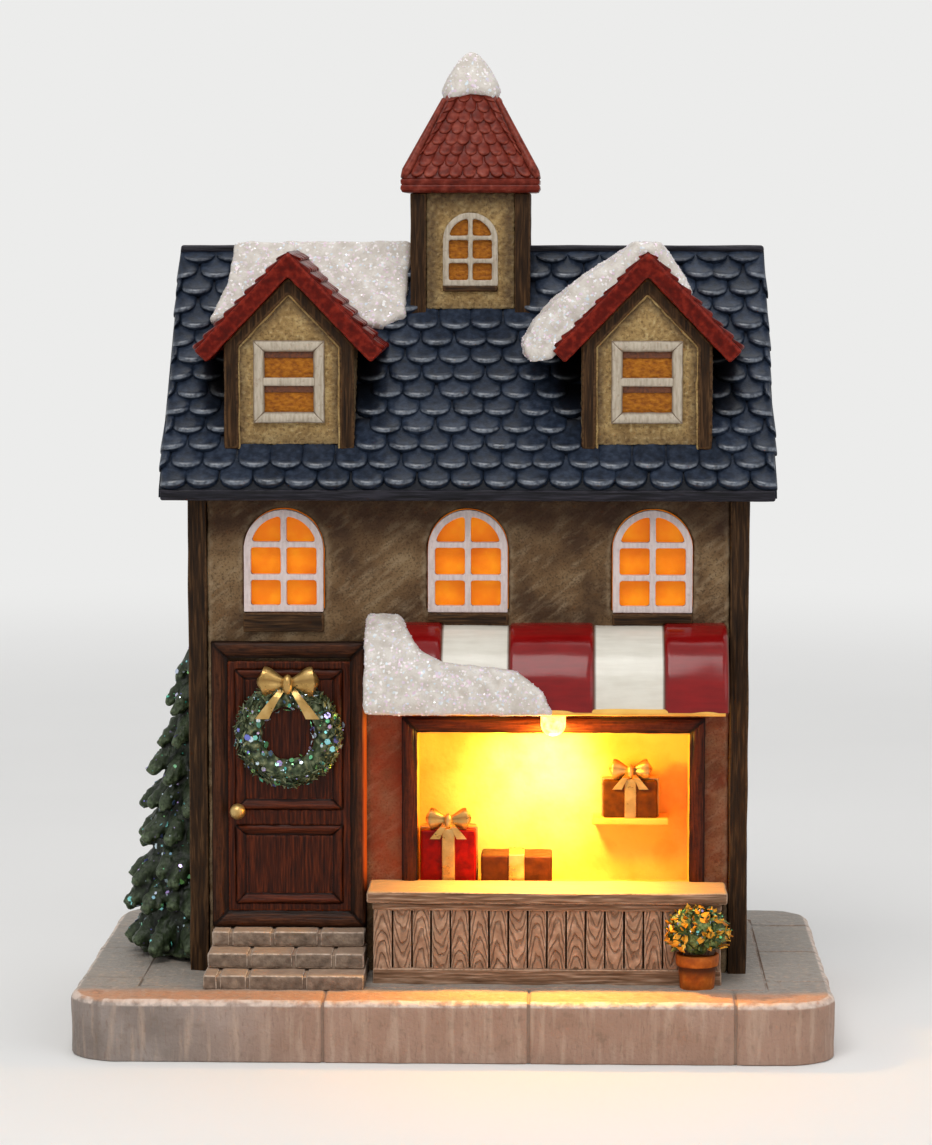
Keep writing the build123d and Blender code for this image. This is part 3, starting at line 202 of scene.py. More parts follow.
# Base paving
skin = 0.3 * mm  # how far the paving stands out from the solid under it
base_corner = 10.0 * mm
base_edge = 1.6 * mm
kerb_width = 13.0 * mm
joint_half = 0.32 * mm
joint_depth = 0.35 * mm
kerb_joint_shares = {"x": (-0.46, -0.166, 0.101, 0.369), "y": (-0.28, 0.02, 0.31)}
least_corner = 0.5 * mm
base_step = 1.1 * mm  # between points along a side
outline_step = 0.1 * mm  # between two outlines that show which way is out
base_lift = 0.2 * mm
kerb_start = 0.8 * mm
paving_reach = 34 * mm  # from the edge to under the house
paving_depth = 2 * mm
chip_size, chip_depth = 1.6 * mm, 0.22 * mm
bulge_size, bulge_depth = 7 * mm, 0.3 * mm
dip_size, dip_depth = 3.0 * mm, 0.16 * mm
sag_size, sag_depth = 9 * mm, 0.2 * mm

# Walls: how deep their tints go, the shop lamp's glow, the painted shade under the eaves, thinner window bars
tint_full = 1.0 * mm
tint_end = 3.0 * mm
glow_edge = 1.0 * mm
glow_foot = 3.0 * mm
glow_head = 4.0 * mm
eaves_shade_reach = 13.0 * mm
eaves_shade_full = 3.0 * mm
lattice_thinning = 0.12 * mm

# Door, with the lamp's light on the edge of its frame
door_border = 3.3 * mm
lit_edge = 0.9 * mm
lit_edge_full = 0.3 * mm
lit_foot = 2 * mm
lit_foot_full = 3 * mm
lit_head = 5 * mm
panel_rail = 3.2 * mm
panel_margin = 1.6 * mm
lower_panel_height = 16.0 * mm
# Moulding round a panel: inset and how far it stands out
panel_profile = ((0, -0.5 * mm), (0, 0.25 * mm), (0.4 * mm, 0.6 * mm), (0.9 * mm, 0.6 * mm),
                 (1.5 * mm, 0.1 * mm), (2.1 * mm, 0), (2.2 * mm, -0.5 * mm))

# Steps, counter and shop
step_inset = 0.3 * mm
brick_lift = 0.1 * mm
mortar_inset = 0.5 * mm
mortar_drop = 0.4 * mm
shop_border = 3.1 * mm
shop_frame_sunk = 4 * mm  # below the counter's top
plank_inset = 0.5 * mm
plank_waver = 0.12 * mm
plank_thickness = 3 * mm
end_board_proud = 0.35 * mm
trim_proud = 0.1 * mm
trim_depth = 2 * mm
counter_inset = 0.3 * mm
counter_gap = 1 * mm
counter_drop = 0.2 * mm
brick_joint_shares = ((0.13, 0.4, 0.7), (0.27, 0.55, 0.8), (0.1, 0.28, 0.63))
brick_joint = 0.45 * mm
plank_count = 16
plank_gap = 0.35 * mm
mould_height = 1.6 * mm
skirting_height = 3.4 * mm
board_width = 4.0 * mm
awning_stripe_shares = (0.0, 0.207, 0.392, 0.63, 0.822, 1.0)
hem_radius = 0.7 * mm
hem_waver_share = 0.25
hem_lump = 6 * mm
awning_stripe_proud = 0.5 * mm
stripe_round = 0.7 * mm
seam_width = 0.25 * mm
dent_size = 8 * mm
dent_depth = 0.14 * mm
ribbon_thickness = 0.3 * mm
frame_lump = 2.0 * mm
frame_waver = 0.1 * mm
# Profiles of frames: inset and how far they stand out, as shares of the border and of the depth
casement_shares = ((0, 0), (0, 0.7), (0.25, 1), (0.6, 1), (1, 0.65), (1, 0))
door_frame_shares = ((0, 0), (0, 0.7), (0.1, 0.92), (0.25, 1), (0.55, 1), (0.75, 0.8), (1, 0.62), (1, 0))
shop_frame_shares = ((0, 0), (0, 0.7), (0.2, 1), (0.7, 1), (1, 0.6), (1, 0))
mitre_share = 0.018  # of a frame's side, where its mitre line ends
mitre_depth = 0.15 * mm

# Gifts: paper, its slot, and the ribbon's width, the box's height and the bow's width
gifts = {
    "gift_red": ("red_paper", "gift_red_paper", 2.6 * mm, 12.4 * mm, 8.4 * mm),
    "gift_flat": ("brown_paper", "gift_brown_paper", 3.2 * mm, 7.2 * mm, 0),
    "gift_gold": ("gold_paper", "gold_paint", 2.4 * mm, 7.8 * mm, 8.0 * mm),
}
gift_bow_inset = 1.0 * mm
gift_bow_depth = 2.6 * mm
gift_bow_tail = 3.6 * mm
gift_bow_hang = 0.8 * mm

# Wreath and its bow
wreath_leaf_count = 1100
wreath_leaf_length = (1.2 * mm, 2.3 * mm)
wreath_leaf_width = (0.35 * mm, 0.65 * mm)
wreath_leaf_thickness = 0.25 * mm
wreath_back = 0.2 * mm  # room kept before the door
wreath_bow_drop = 2.9 * mm
wreath_bow_height = 6.2 * mm
wreath_bow_tail = 6.8 * mm
wreath_bow_hang = 0.6 * mm

# Pot: height and width as shares of its size; bush, tree and glitter
pot_shares = ((0, 0.7), (0, 0.76), (0.03, 0.79), (0.3, 0.82), (0.62, 0.88), (0.655, 0.9), (0.665, 0.96),
              (0.7, 0.99), (0.8, 1.0), (0.95, 1.0), (0.985, 0.98), (1, 0.94), (0.99, 0.88), (0.9, 0.85))
pot_lump = 2.5 * mm
pot_waver = 0.12 * mm
bush_leaf_count = 260
bush_leaf_length = (1.6 * mm, 3.0 * mm)
bush_petal_count = 190
bush_petal_length = (1.4 * mm, 2.4 * mm)
bush_leaf_width = (0.9 * mm, 1.5 * mm)
bush_leaf_thickness = 0.35 * mm
tree_tiers = 9
tree_voxel = 0.42 * mm
tree_overlap = 0.5 * mm  # into the wall
needle_size, needle_depth = 0.9 * mm, 0.35 * mm
tuft_size, tuft_depth = 2.2 * mm, 0.5 * mm
flake_thickness = 0.08 * mm
# Glitter flakes: count, smallest and largest width, and how far they stand off
flake_sizes = {
    "snow_flakes": (3600, 0.2 * mm, 0.5 * mm, 0.0),
    "wreath_glitter": (420, 0.25 * mm, 1.5 * mm, 0.55 * mm),
    "bush_glitter": (110, 0.4 * mm, 1.2 * mm, 0.3 * mm),
    "tree_glitter": (640, 0.25 * mm, 1.3 * mm, 0.0),
}


def srgb(red, green, blue):
    """Linear colour with alpha from the 0 to 255 values that a screen shows."""
    shares = np.array([red, green, blue]) / 255
    linear = np.where(shares <= 0.04045, shares / 12.92, ((shares + 0.055) / 1.055) ** 2.4)
    return (*linear.tolist(), 1.0)


def smooth_step(low, high, value):
    """0 below low, 1 above high, with a smooth rise between them."""
    share = np.clip((value - low) / (high - low), 0, 1)
    return share * share * (3 - 2 * share)


def box_of(node):
    """Lowest and highest corner of a solid as arrays."""
    low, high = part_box(node)
    return np.array(low), np.array(high)


def measures(node):
    """Lowest and highest corner, middle and size of a solid as arrays."""
    low, high = box_of(node)
    return low, high, (low + high) / 2, high - low


def full_turn(count):
    """Angles of evenly spaced points round a circle."""
    return np.linspace(0, 2 * math.pi, count, endpoint=False)


def noise_at(points, size, stretch=(1, 1, 1), shift=0.0):
    """Smooth noise from -1 to 1 at each point, with lumps of the given size."""
    spots = np.asarray(points) / (size * np.array(stretch)) + shift
    return np.array([noise.noise(spot) for spot in spots.tolist()])


background_colour = srgb(236, 236, 235)
# Places between which the stone turns from grey to warm: on the front face, warmer stone with the shop lamp's
# light painted on it, and on the front kerb's top, the lamp's painted light
lamp_glow_face_x = (-56 * mm, -26 * mm)
lamp_glow_strip_y = (-37 * mm, -41 * mm)


class Nodes:
    """Short calls for the nodes of one material. A number, a colour or a socket can feed any input."""

    def __init__(self, name):
        self.material = bpy.data.materials.new(name)
        self.material.use_nodes = True
        self.tree = self.material.node_tree
        self.shader = self.tree.nodes["Principled BSDF"]
        self.spots = {"place": self.add("ShaderNodeTexCoord").outputs["Object"]}

    def feed(self, socket, value):
        if isinstance(value, bpy.types.NodeSocket):
            self.tree.links.new(value, socket)
        else:
            socket.default_value = value

    def add(self, kind, inputs=None, **settings):
        node = self.tree.nodes.new(kind)
        for key, value in settings.items():
            setattr(node, key, value)
        for key, value in (inputs or {}).items():
            self.feed(node.inputs[key], value)
        return node

    def read(self, name, output="Fac"):
        return self.add("ShaderNodeAttribute", attribute_name=name).outputs[output]

    def at(self, size, stretch=(1, 1, 1), source="place", turn=0.0):
        """Coordinates in which features come out size millimetres wide, turned in the XZ plane."""
        if source not in self.spots:
            self.spots[source] = self.read(source, "Vector")
        unit = mm if source == "place" else 1
        scale = [1 / (size * unit * share) for share in stretch]
        spot = self.spots[source]
        if turn:
            turned = {"Vector": spot, "Rotation": (0, math.radians(turn), 0)}
            spot = self.add("ShaderNodeMapping", turned).outputs[0]
        return self.add("ShaderNodeMapping", {"Vector": spot, "Scale": scale}).outputs[0]

    def noise(self, size, detail=3, stretch=(1, 1, 1), source="place", distortion=0.0, turn=0.0):
        return self.add("ShaderNodeTexNoise", {"Vector": self.at(size, stretch, source, turn), "Scale": 1.0,
                                               "Detail": detail, "Distortion": distortion}).outputs["Fac"]

    def cells(self, size):
        return self.add("ShaderNodeTexVoronoi", {"Vector": self.at(size), "Scale": 1.0}).outputs["Color"]

    def ramp(self, value, *stops):
        """Grey or colour ramp through (position, value) stops."""
        node = self.add("ShaderNodeValToRGB", {"Fac": value})
        points = node.color_ramp.elements
        while len(points) < len(stops):
            points.new(1.0)
        for point, (position, colour) in zip(points, stops):
            point.position = position
            point.color = colour if isinstance(colour, tuple) else (colour, colour, colour, 1.0)
        return node.outputs["Color"]

    def mix(self, share, first, second):
        node = self.add("ShaderNodeMix", data_type="RGBA")
        self.feed(node.inputs[0], share)
        self.feed(node.inputs[6], first)
        self.feed(node.inputs[7], second)
        return node.outputs[2]

    def math(self, operation, first, second=0.0, third=0.0):
        node = self.add("ShaderNodeMath", operation=operation)
        for socket, value in zip(node.inputs, (first, second, third)):
            self.feed(socket, value)
        return node.outputs[0]

    def times(self, first, second):
        return self.math("MULTIPLY", first, second)

    def drybrush_and_light(self, low=0.35, high=0.85, size=0.8):
        """Broken mask of the raised edges, for dry-brushed paint and for painted highlights."""
        edge = self.ramp(self.read("relief"), (low, 0.0), (high, 1.0))
        return self.times(edge, self.ramp(self.noise(size), (0.35, 0.15), (0.6, 1.0)))

    def sunk(self, depth=0.5):
        """Mask of the recesses, for darker paint there: dark joints, and painted shade in creases, hollows
        and under parts.
        """
        return self.ramp(self.times(self.read("relief"), -1.0), (0.05, 0.0), (depth, 1.0))

    def upward(self):
        """Mask of the faces that look up."""
        normal = self.add("ShaderNodeNewGeometry").outputs["Normal"]
        up = self.add("ShaderNodeSeparateXYZ", {"Vector": normal}).outputs["Z"]
        return self.ramp(up, (0.5, 0.0), (0.9, 1.0))

    def rise(self, axis, low, high):
        """Ramp from 0 to 1 along one axis of the part, between two places in metres."""
        place = self.add("ShaderNodeSeparateXYZ", {"Vector": self.spots["place"]}).outputs[axis]
        ends = {"Value": place, "From Min": low, "From Max": high}
        return self.add("ShaderNodeMapRange", ends).outputs["Result"]

    def finish(self, colour, roughness, height=None, depth=0.1, **others):
        """Feed the shader: depth is the bump's height in millimetres."""
        inputs = {"Base Color": colour, "Roughness": roughness, **others}
        if height is not None:
            bump = {"Height": height, "Distance": depth * mm}
            inputs["Normal"] = self.add("ShaderNodeBump", bump).outputs[0]
        for key, value in inputs.items():
            self.feed(self.shader.inputs[key.replace("_", " ")], value)
        return self.material


def stone_paint():
    n = Nodes("stone paint")
    blotch = n.noise(11, 6)
    streak = n.noise(1.5, 4, (1, 1, 9))
    colour = n.ramp(blotch, (0.3, srgb(121, 108, 100)), (0.5, srgb(141, 128, 120)),
                    (0.72, srgb(158, 146, 139)))
    # Faces that look up are greyer stone, and lighter as painted light from above
    top = n.upward()
    colour = n.mix(n.times(top, 0.5), colour, srgb(152, 150, 141))
    # The front face painted warm: warmer stone, with the shop lamp's light painted on it
    face = n.times(n.math("SUBTRACT", 1.0, top), n.rise("X", *lamp_glow_face_x))
    colour = n.mix(n.times(face, 0.5), colour, srgb(174, 124, 93))
    # The shop lamp's light painted on the top of the front kerb
    strip = n.times(top, n.rise("Y", *lamp_glow_strip_y))
    colour = n.mix(n.times(strip, 0.7), colour, srgb(206, 140, 92))
    colour = n.mix(n.ramp(streak, (0.5, 0.0), (0.7, 0.5)), colour, srgb(190, 165, 145))
    colour = n.mix(n.ramp(n.noise(2.6, 6), (0.58, 0.0), (0.74, 0.4)), colour, srgb(108, 90, 74))
    colour = n.mix(n.ramp(n.noise(0.55, 3, (1, 1, 4)), (0.56, 0.0), (0.72, 0.45)), colour, srgb(122, 98, 82))
    # Pale worn edges, with a painted highlight along them
    colour = n.mix(n.times(n.drybrush_and_light(0.4, 0.95, 1.8), 0.95), colour, srgb(222, 202, 188))
    colour = n.mix(n.times(n.sunk(), 0.5), colour, srgb(108, 92, 80))
    height = n.math("ADD", n.noise(0.7, 5), n.times(streak, 1.2))
    return n.finish(colour, n.ramp(blotch, (0.3, 0.55), (0.7, 0.75)), height, 0.25)


def plaster_paint():
    n = Nodes("plaster paint")
    blotch = n.noise(9, 8)
    stroke = n.noise(1.3, 8, (4, 4, 1), turn=38)
    colour = n.ramp(blotch, (0.34, srgb(70, 49, 30)), (0.5, srgb(101, 76, 49)), (0.68, srgb(127, 103, 73)))
    colour = n.mix(n.ramp(stroke, (0.5, 0.0), (0.7, 0.5)), colour, srgb(150, 130, 102))
    colour = n.mix(n.ramp(n.noise(0.4, 4), (0.5, 0.0), (0.66, 0.6)), colour, srgb(46, 31, 16))
    colour = n.mix(n.times(n.drybrush_and_light(0.2, 0.8, 1.2), 0.5), colour, srgb(160, 140, 112))
    colour = n.mix(n.times(n.sunk(0.8), 0.6), colour, srgb(48, 33, 18))
    # A tint below zero is painted shade under the eaves; above zero it is the shop lamp's light, painted as a
    # glow through the thin wall
    tint, patches = n.read("tint"), n.ramp(n.noise(4, 5), (0.3, 0.55), (0.65, 1.0))
    painted_shade = n.times(n.ramp(n.times(tint, -1.0), (0.0, 0.0), (1.0, 0.85)), patches)
    colour = n.mix(painted_shade, colour, srgb(46, 22, 8))
    glow = n.times(n.math("MAXIMUM", tint, 0.0), patches)
    colour = n.mix(n.times(glow, 0.75), colour, srgb(122, 42, 12))
    height = n.math("ADD", stroke, n.times(n.noise(0.6, 4), 0.6))
    return n.finish(colour, 0.62, height, 0.3, Specular_IOR_Level=0.2, Emission_Color=srgb(170, 46, 6),
                    Emission_Strength=n.times(glow, 0.15))


def timber_paint(name, dark, middle, pale, gloss=0.5, lit=0.0, top=None):
    """Grained paint. If it is lit, edges with a tint show the lamp's light. A top colour is painted light on
    the faces that look up.
    """
    n = Nodes(name)
    grain = n.noise(0.45, 4, (1, 1, 14), "grain", 0.3)
    colour = n.ramp(grain, (0.3, dark), (0.52, middle), (0.74, pale))
    colour = n.mix(n.drybrush_and_light(), colour, pale)
    colour = n.mix(n.sunk(), colour, dark)
    # The lamp's light painted on the faces that look up
    if top:
        colour = n.mix(n.times(n.upward(), 0.75), colour, top)
    glow = {}
    if lit:
        glow = {"Emission_Color": srgb(240, 84, 12), "Emission_Strength": n.times(n.read("tint"), lit)}
    return n.finish(colour, n.ramp(grain, (0.3, gloss), (0.7, gloss + 0.15)), grain, 0.22,
                    Specular_IOR_Level=0.13, **glow)


def slate_paint():
    n = Nodes("slate paint")
    brushed = n.noise(1.3, 5)
    tint = n.read("tint")
    colour = n.ramp(n.math("ADD", brushed, n.times(tint, 0.16)),
                    (0.36, srgb(17, 24, 35)), (0.6, srgb(30, 39, 54)), (0.9, srgb(51, 61, 78)))
    # Dry-brushed paint and a painted highlight on the tile rims
    colour = n.mix(n.times(n.drybrush_and_light(0.55, 1.0, 0.9), 0.66), colour, srgb(136, 144, 156))
    # Painted shadow on each tile's head under the tile above, and painted shade in the gaps
    colour = n.mix(n.sunk(), colour, srgb(10, 12, 19))
    # A tint below zero is the dormers' painted shadow on the roof: near black, with less coat
    dark = n.times(tint, -0.5)
    colour = n.mix(n.ramp(dark, (0.0, 0.0), (1.0, 0.94)), colour, srgb(5, 5, 6))
    gloss = n.ramp(n.read("relief"), (0.1, 0.05), (0.8, 0.8))
    gloss = n.times(gloss, n.ramp(dark, (0.0, 1.0), (1.0, 0.15)))
    return n.finish(colour, n.ramp(brushed, (0.35, 0.34), (0.7, 0.5)), n.noise(0.45, 4), 0.07,
                    Coat_Weight=gloss, Coat_Roughness=0.2, Specular_IOR_Level=0.13)


def red_paint(name, dark, middle, pale, gloss):
    n = Nodes(name)
    brushed = n.noise(1.4, 5)
    colour = n.ramp(n.math("ADD", brushed, n.times(n.read("tint"), 0.12)),
                    (0.2, dark), (0.55, middle), (1.0, pale))
    colour = n.mix(n.times(n.drybrush_and_light(0.5, 1.0, 0.7), 0.5), colour, pale)
    colour = n.mix(n.sunk(0.8), colour, dark)
    return n.finish(colour, gloss, n.noise(0.5, 4), 0.06, Coat_Weight=0.08, Coat_Roughness=0.15,
                    Specular_IOR_Level=0.08)


def stucco_paint():
    n = Nodes("stucco paint")
    pits = n.noise(0.5, 3)
    colour = n.ramp(n.noise(3.2, 4), (0.32, srgb(140, 110, 62)), (0.55, srgb(164, 134, 82)),
                    (0.75, srgb(186, 160, 108)))
    colour = n.mix(n.ramp(pits, (0.34, 0.6), (0.46, 0.0)), colour, srgb(84, 58, 28))
    colour = n.mix(n.times(n.drybrush_and_light(0.2, 0.8, 0.6), 0.6), colour, srgb(204, 180, 130))
    colour = n.mix(n.times(n.sunk(0.9), 0.55), colour, srgb(100, 72, 36))
    # A tint is painted shade by the timbers, under the eaves and at the foot of the front
    painted_shade = n.times(n.read("tint"), n.ramp(n.noise(1.2, 4), (0.3, 0.6), (0.6, 1.0)))
    colour = n.mix(n.times(painted_shade, 0.9), colour, srgb(58, 36, 13))
    return n.finish(colour, 0.75, pits, 0.35)


def frame_paint(name, dark, pale, dirt):
    n = Nodes(name)
    brush = n.noise(0.5, 4, (1, 1, 6))
    colour = n.ramp(brush, (0.3, dark), (0.6, pale))
    colour = n.mix(n.ramp(n.noise(0.9, 5), (0.58, 0.0), (0.76, dirt)), colour, srgb(132, 110, 90))
    colour = n.mix(n.times(n.sunk(0.6), 0.8), colour, srgb(100, 78, 58))
    return n.finish(colour, 0.5, brush, 0.1, Specular_IOR_Level=0.3)


def lit_pane():
    n = Nodes("lit pane")
    glow = n.noise(6, 3)
    colour = n.ramp(glow, (0.3, srgb(214, 104, 4)), (0.5, srgb(228, 122, 8)), (0.72, srgb(240, 144, 16)))
    return n.finish(colour, 0.35, n.noise(0.8, 3), 0.12, Specular_IOR_Level=0.2, Emission_Color=colour,
                    Emission_Strength=0.4)


def painted_pane():
    n = Nodes("painted pane")
    stipple = n.noise(0.6, 4, (1.6, 1, 1))
    colour = n.ramp(stipple, (0.32, srgb(126, 68, 8)), (0.5, srgb(154, 90, 12)), (0.7, srgb(178, 112, 26)))
    return n.finish(colour, 0.5, stipple, 0.3, Specular_IOR_Level=0.2)


def shadow_strip_paint():
    """Painted shadow on the upper part of a painted pane."""
    n = Nodes("pane reveal paint")
    stipple = n.noise(0.5, 4)
    colour = n.ramp(stipple, (0.3, srgb(70, 30, 4)), (0.6, srgb(104, 50, 8)))
    return n.finish(colour, 0.55, stipple, 0.2)


def gold_paint():
    n = Nodes("gold paint")
    rub = n.noise(2.4, 3)
    colour = n.ramp(rub, (0.2, srgb(160, 122, 62)), (0.52, srgb(186, 150, 88)), (0.9, srgb(216, 186, 126)))
    colour = n.mix(n.times(n.sunk(0.8), 0.7), colour, srgb(92, 60, 20))
    return n.finish(colour, n.ramp(rub, (0.3, 0.26), (0.7, 0.38)), n.noise(0.8, 3), 0.1, Metallic=0.7)


def leaf_paint(name, dark, middle, pale):
    n = Nodes(name)
    mottle = n.math("ADD", n.times(n.noise(0.8, 4), 0.5), n.times(n.read("tint"), 0.5))
    colour = n.ramp(mottle, (0.2, dark), (0.5, middle), (0.8, pale))
    colour = n.mix(n.drybrush_and_light(0.3, 0.9, 0.6), colour, pale)
    colour = n.mix(n.sunk(0.6), colour, dark)
    return n.finish(colour, 0.42, n.noise(0.4, 4, (1, 1, 2)), 0.16, Specular_IOR_Level=0.25)


def glitter_paint(name, metal, *tints):
    n = Nodes(name)
    tint = n.read("tint")
    colour = n.ramp(tint, *[(number / len(tints), colour) for number, colour in enumerate(tints)])
    scuff = n.noise(0.3, 2)
    return n.finish(colour, n.ramp(scuff, (0.3, 0.08), (0.7, 0.24)), scuff, 0.02, Metallic=metal)


def snow_paint():
    n = Nodes("glitter snow")
    flake = n.cells(0.5)
    spread = n.add("ShaderNodeSeparateColor", {"Color": flake})
    shine = n.ramp(spread.outputs[0], (0.8, 0.0), (0.86, 1.0))
    tint = n.ramp(spread.outputs[1], (0.1, srgb(255, 250, 248)), (0.5, srgb(236, 198, 224)),
                  (0.75, srgb(206, 226, 240)), (0.95, srgb(255, 255, 255)))
    colour = n.ramp(n.noise(2.2, 4), (0.3, srgb(190, 181, 171)), (0.55, srgb(210, 203, 194)),
                    (0.75, srgb(226, 221, 215)))
    colour = n.mix(n.ramp(n.noise(0.4, 2), (0.54, 0.0), (0.7, 0.5)), colour, srgb(190, 178, 168))
    # Glitter cells in their own colours, painted brighter than the snow as glints
    colour = n.mix(n.times(shine, 0.7), colour, tint)
    # Painted shade in the hollows of the snow
    colour = n.mix(n.sunk(0.9), colour, srgb(176, 166, 154))
    tilt = n.times(spread.outputs[2], shine)
    height = n.math("ADD", n.noise(0.5, 4), tilt)
    roughness = n.ramp(shine, (0.0, 0.6), (1.0, 0.14))
    return n.finish(colour, roughness, height, 0.12)


def brick_paint():
    n = Nodes("brick paint")
    mottle = n.math("ADD", n.noise(1.8, 5), n.times(n.read("tint"), 0.14))
    colour = n.ramp(mottle, (0.34, srgb(90, 74, 60)), (0.55, srgb(120, 101, 85)), (0.78, srgb(152, 132, 113)))
    # Treads painted lighter and warmer: the lamp's light on them, painted
    colour = n.mix(n.times(n.upward(), 0.5), colour, srgb(190, 160, 136))
    colour = n.mix(n.drybrush_and_light(0.3, 0.9, 1.0), colour, srgb(204, 184, 166))
    colour = n.mix(n.sunk(0.6), colour, srgb(54, 46, 38))
    return n.finish(colour, 0.68, n.noise(0.5, 5), 0.22)


def plank_paint():
    """Weathered boards whose grain lines arch along each board."""
    n = Nodes("plank paint")
    place = n.add("ShaderNodeSeparateXYZ", {"Vector": n.read("grain", "Vector")})
    flip = n.math("SUBTRACT", n.math("GREATER_THAN", n.read("tint"), 0.5), 0.5)
    arch = n.times(n.math("POWER", n.math("ABSOLUTE", place.outputs[0]), 2.0), n.times(flip, 1.2))
    run = n.times(place.outputs[2], 0.34)
    warp = n.times(n.noise(3.0, 4, (1, 1, 3), "grain"), 3.4)
    turns = n.math("ADD", n.math("ADD", arch, run), warp)
    lines = n.math("SINE", n.times(turns, 2 * math.pi))
    colour = n.ramp(n.noise(1.6, 5), (0.32, srgb(138, 103, 78)), (0.55, srgb(166, 130, 103)),
                    (0.75, srgb(196, 162, 136)))
    groove = n.ramp(n.math("MULTIPLY_ADD", lines, 0.5, 0.5), (0.0, 1.0), (0.3, 0.0))
    colour = n.mix(n.times(groove, 0.6), colour, srgb(90, 60, 37))
    colour = n.mix(n.drybrush_and_light(0.3, 0.9, 0.9), colour, srgb(214, 186, 162))
    colour = n.mix(n.sunk(0.6), colour, srgb(70, 46, 28))
    return n.finish(colour, 0.66, n.math("SUBTRACT", 1.0, groove), 0.25)


def cream_paint():
    n = Nodes("cream paint")
    cloud = n.noise(7, 5)
    colour = n.ramp(cloud, (0.3, srgb(226, 166, 74)), (0.6, srgb(240, 190, 96)))
    colour = n.mix(n.ramp(n.noise(0.6, 3), (0.66, 0.0), (0.82, 0.4)), colour, srgb(176, 116, 36))
    return n.finish(colour, 0.6, n.noise(1.0, 4), 0.12, Specular_IOR_Level=0.2)


def enamel_paint(name, dark, pale):
    """Glossy brushed enamel of the awning."""
    n = Nodes(name)
    brush = n.noise(0.9, 4, (7, 1, 1))
    colour = n.ramp(n.math("ADD", n.times(brush, 0.6), n.times(n.noise(4, 4), 0.4)),
                    (0.2, dark), (0.8, pale))
    colour = n.mix(n.times(n.sunk(0.6), 0.7), colour, srgb(88, 62, 48))
    height = n.math("ADD", brush, n.noise(3, 3))
    return n.finish(colour, n.ramp(brush, (0.3, 0.16), (0.7, 0.24)), height, 0.04, Coat_Weight=0.45,
                    Coat_Roughness=0.13, Specular_IOR_Level=0.1)


def paper_paint(name, dark, pale):
    n = Nodes(name)
    fold = n.noise(1.6, 4)
    colour = n.mix(n.drybrush_and_light(0.3, 0.9, 0.7), n.ramp(fold, (0.3, dark), (0.7, pale)), pale)
    return n.finish(colour, n.ramp(fold, (0.3, 0.32), (0.7, 0.5)), fold, 0.1, Specular_IOR_Level=0.1)


def clay_paint():
    n = Nodes("terracotta paint")
    mottle = n.noise(1.5, 5)
    colour = n.ramp(mottle, (0.3, srgb(140, 66, 12)), (0.55, srgb(174, 90, 20)), (0.75, srgb(200, 118, 42)))
    colour = n.mix(n.sunk(0.6), colour, srgb(80, 40, 14))
    return n.finish(colour, 0.58, mottle, 0.14, Specular_IOR_Level=0.25)


def moulded_plastic(name, dark, pale, gloss=0.45):
    n = Nodes(name)
    pebble = n.noise(0.35, 2)
    colour = n.ramp(n.noise(6, 4), (0.3, dark), (0.7, pale))
    return n.finish(colour, n.ramp(pebble, (0.3, gloss), (0.7, gloss + 0.12)), pebble, 0.03)


def lamp_lens():
    n = Nodes("lit lamp lens")
    core = n.noise(1.2, 2)
    colour = n.ramp(core, (0.3, srgb(255, 190, 70)), (0.7, srgb(255, 222, 130)))
    return n.finish(colour, 0.12, core, 0.03, Emission_Color=colour, Emission_Strength=2.6)


def plated_metal():
    n = Nodes("plated contact metal")
    brush = n.noise(0.5, 3, (8, 1, 1))
    colour = n.ramp(brush, (0.3, srgb(170, 168, 160)), (0.7, srgb(206, 204, 198)))
    return n.finish(colour, n.ramp(brush, (0.3, 0.24), (0.7, 0.4)), brush, 0.02, Metallic=1.0)


def cell_jacket():
    """Plain dark sleeve of a cell."""
    n = Nodes("cell jacket")
    scuff = n.noise(1.5, 4)
    colour = n.ramp(scuff, (0.3, srgb(36, 40, 48)), (0.7, srgb(58, 64, 74)))
    return n.finish(colour, n.ramp(scuff, (0.3, 0.25), (0.7, 0.38)), scuff, 0.02)


def seen_rays(tree):
    """Socket that is 1 for the rays that show the pale background."""
    rays = tree.nodes.new("ShaderNodeLightPath")
    seen = rays.outputs["Is Camera Ray"]
    for kind in ("Is Glossy Ray", "Is Transmission Ray"):
        either = tree.nodes.new("ShaderNodeMath")
        either.operation = "MAXIMUM"
        tree.links.new(seen, either.inputs[0])
        tree.links.new(rays.outputs[kind], either.inputs[1])
        seen = either.outputs[0]
    return seen


def floor_paint():
    """Pale floor. Away from the object it shows the colour of the background."""
    n = Nodes("studio floor")
    cloud = n.noise(160, 3)
    colour = n.ramp(cloud, (0.3, srgb(232, 231, 229)), (0.7, srgb(236, 235, 233)))
    n.finish(colour, 0.85)
    away = n.add("ShaderNodeVectorMath", {0: n.spots["place"]}, operation="LENGTH").outputs["Value"]
    fade = n.add("ShaderNodeMapRange", {"Value": away, "From Min": fade_start, "From Max": fade_end},
                 interpolation_type="SMOOTHSTEP").outputs["Result"]
    backdrop = n.add("ShaderNodeEmission", {"Color": background_colour, "Strength": 1.0})
    mix = n.add("ShaderNodeMixShader", {0: n.times(fade, seen_rays(n.tree)), 1: n.shader.outputs[0],
                                        2: backdrop.outputs[0]})
    n.feed(n.tree.nodes["Material Output"].inputs["Surface"], mix.outputs[0])
    return n.material


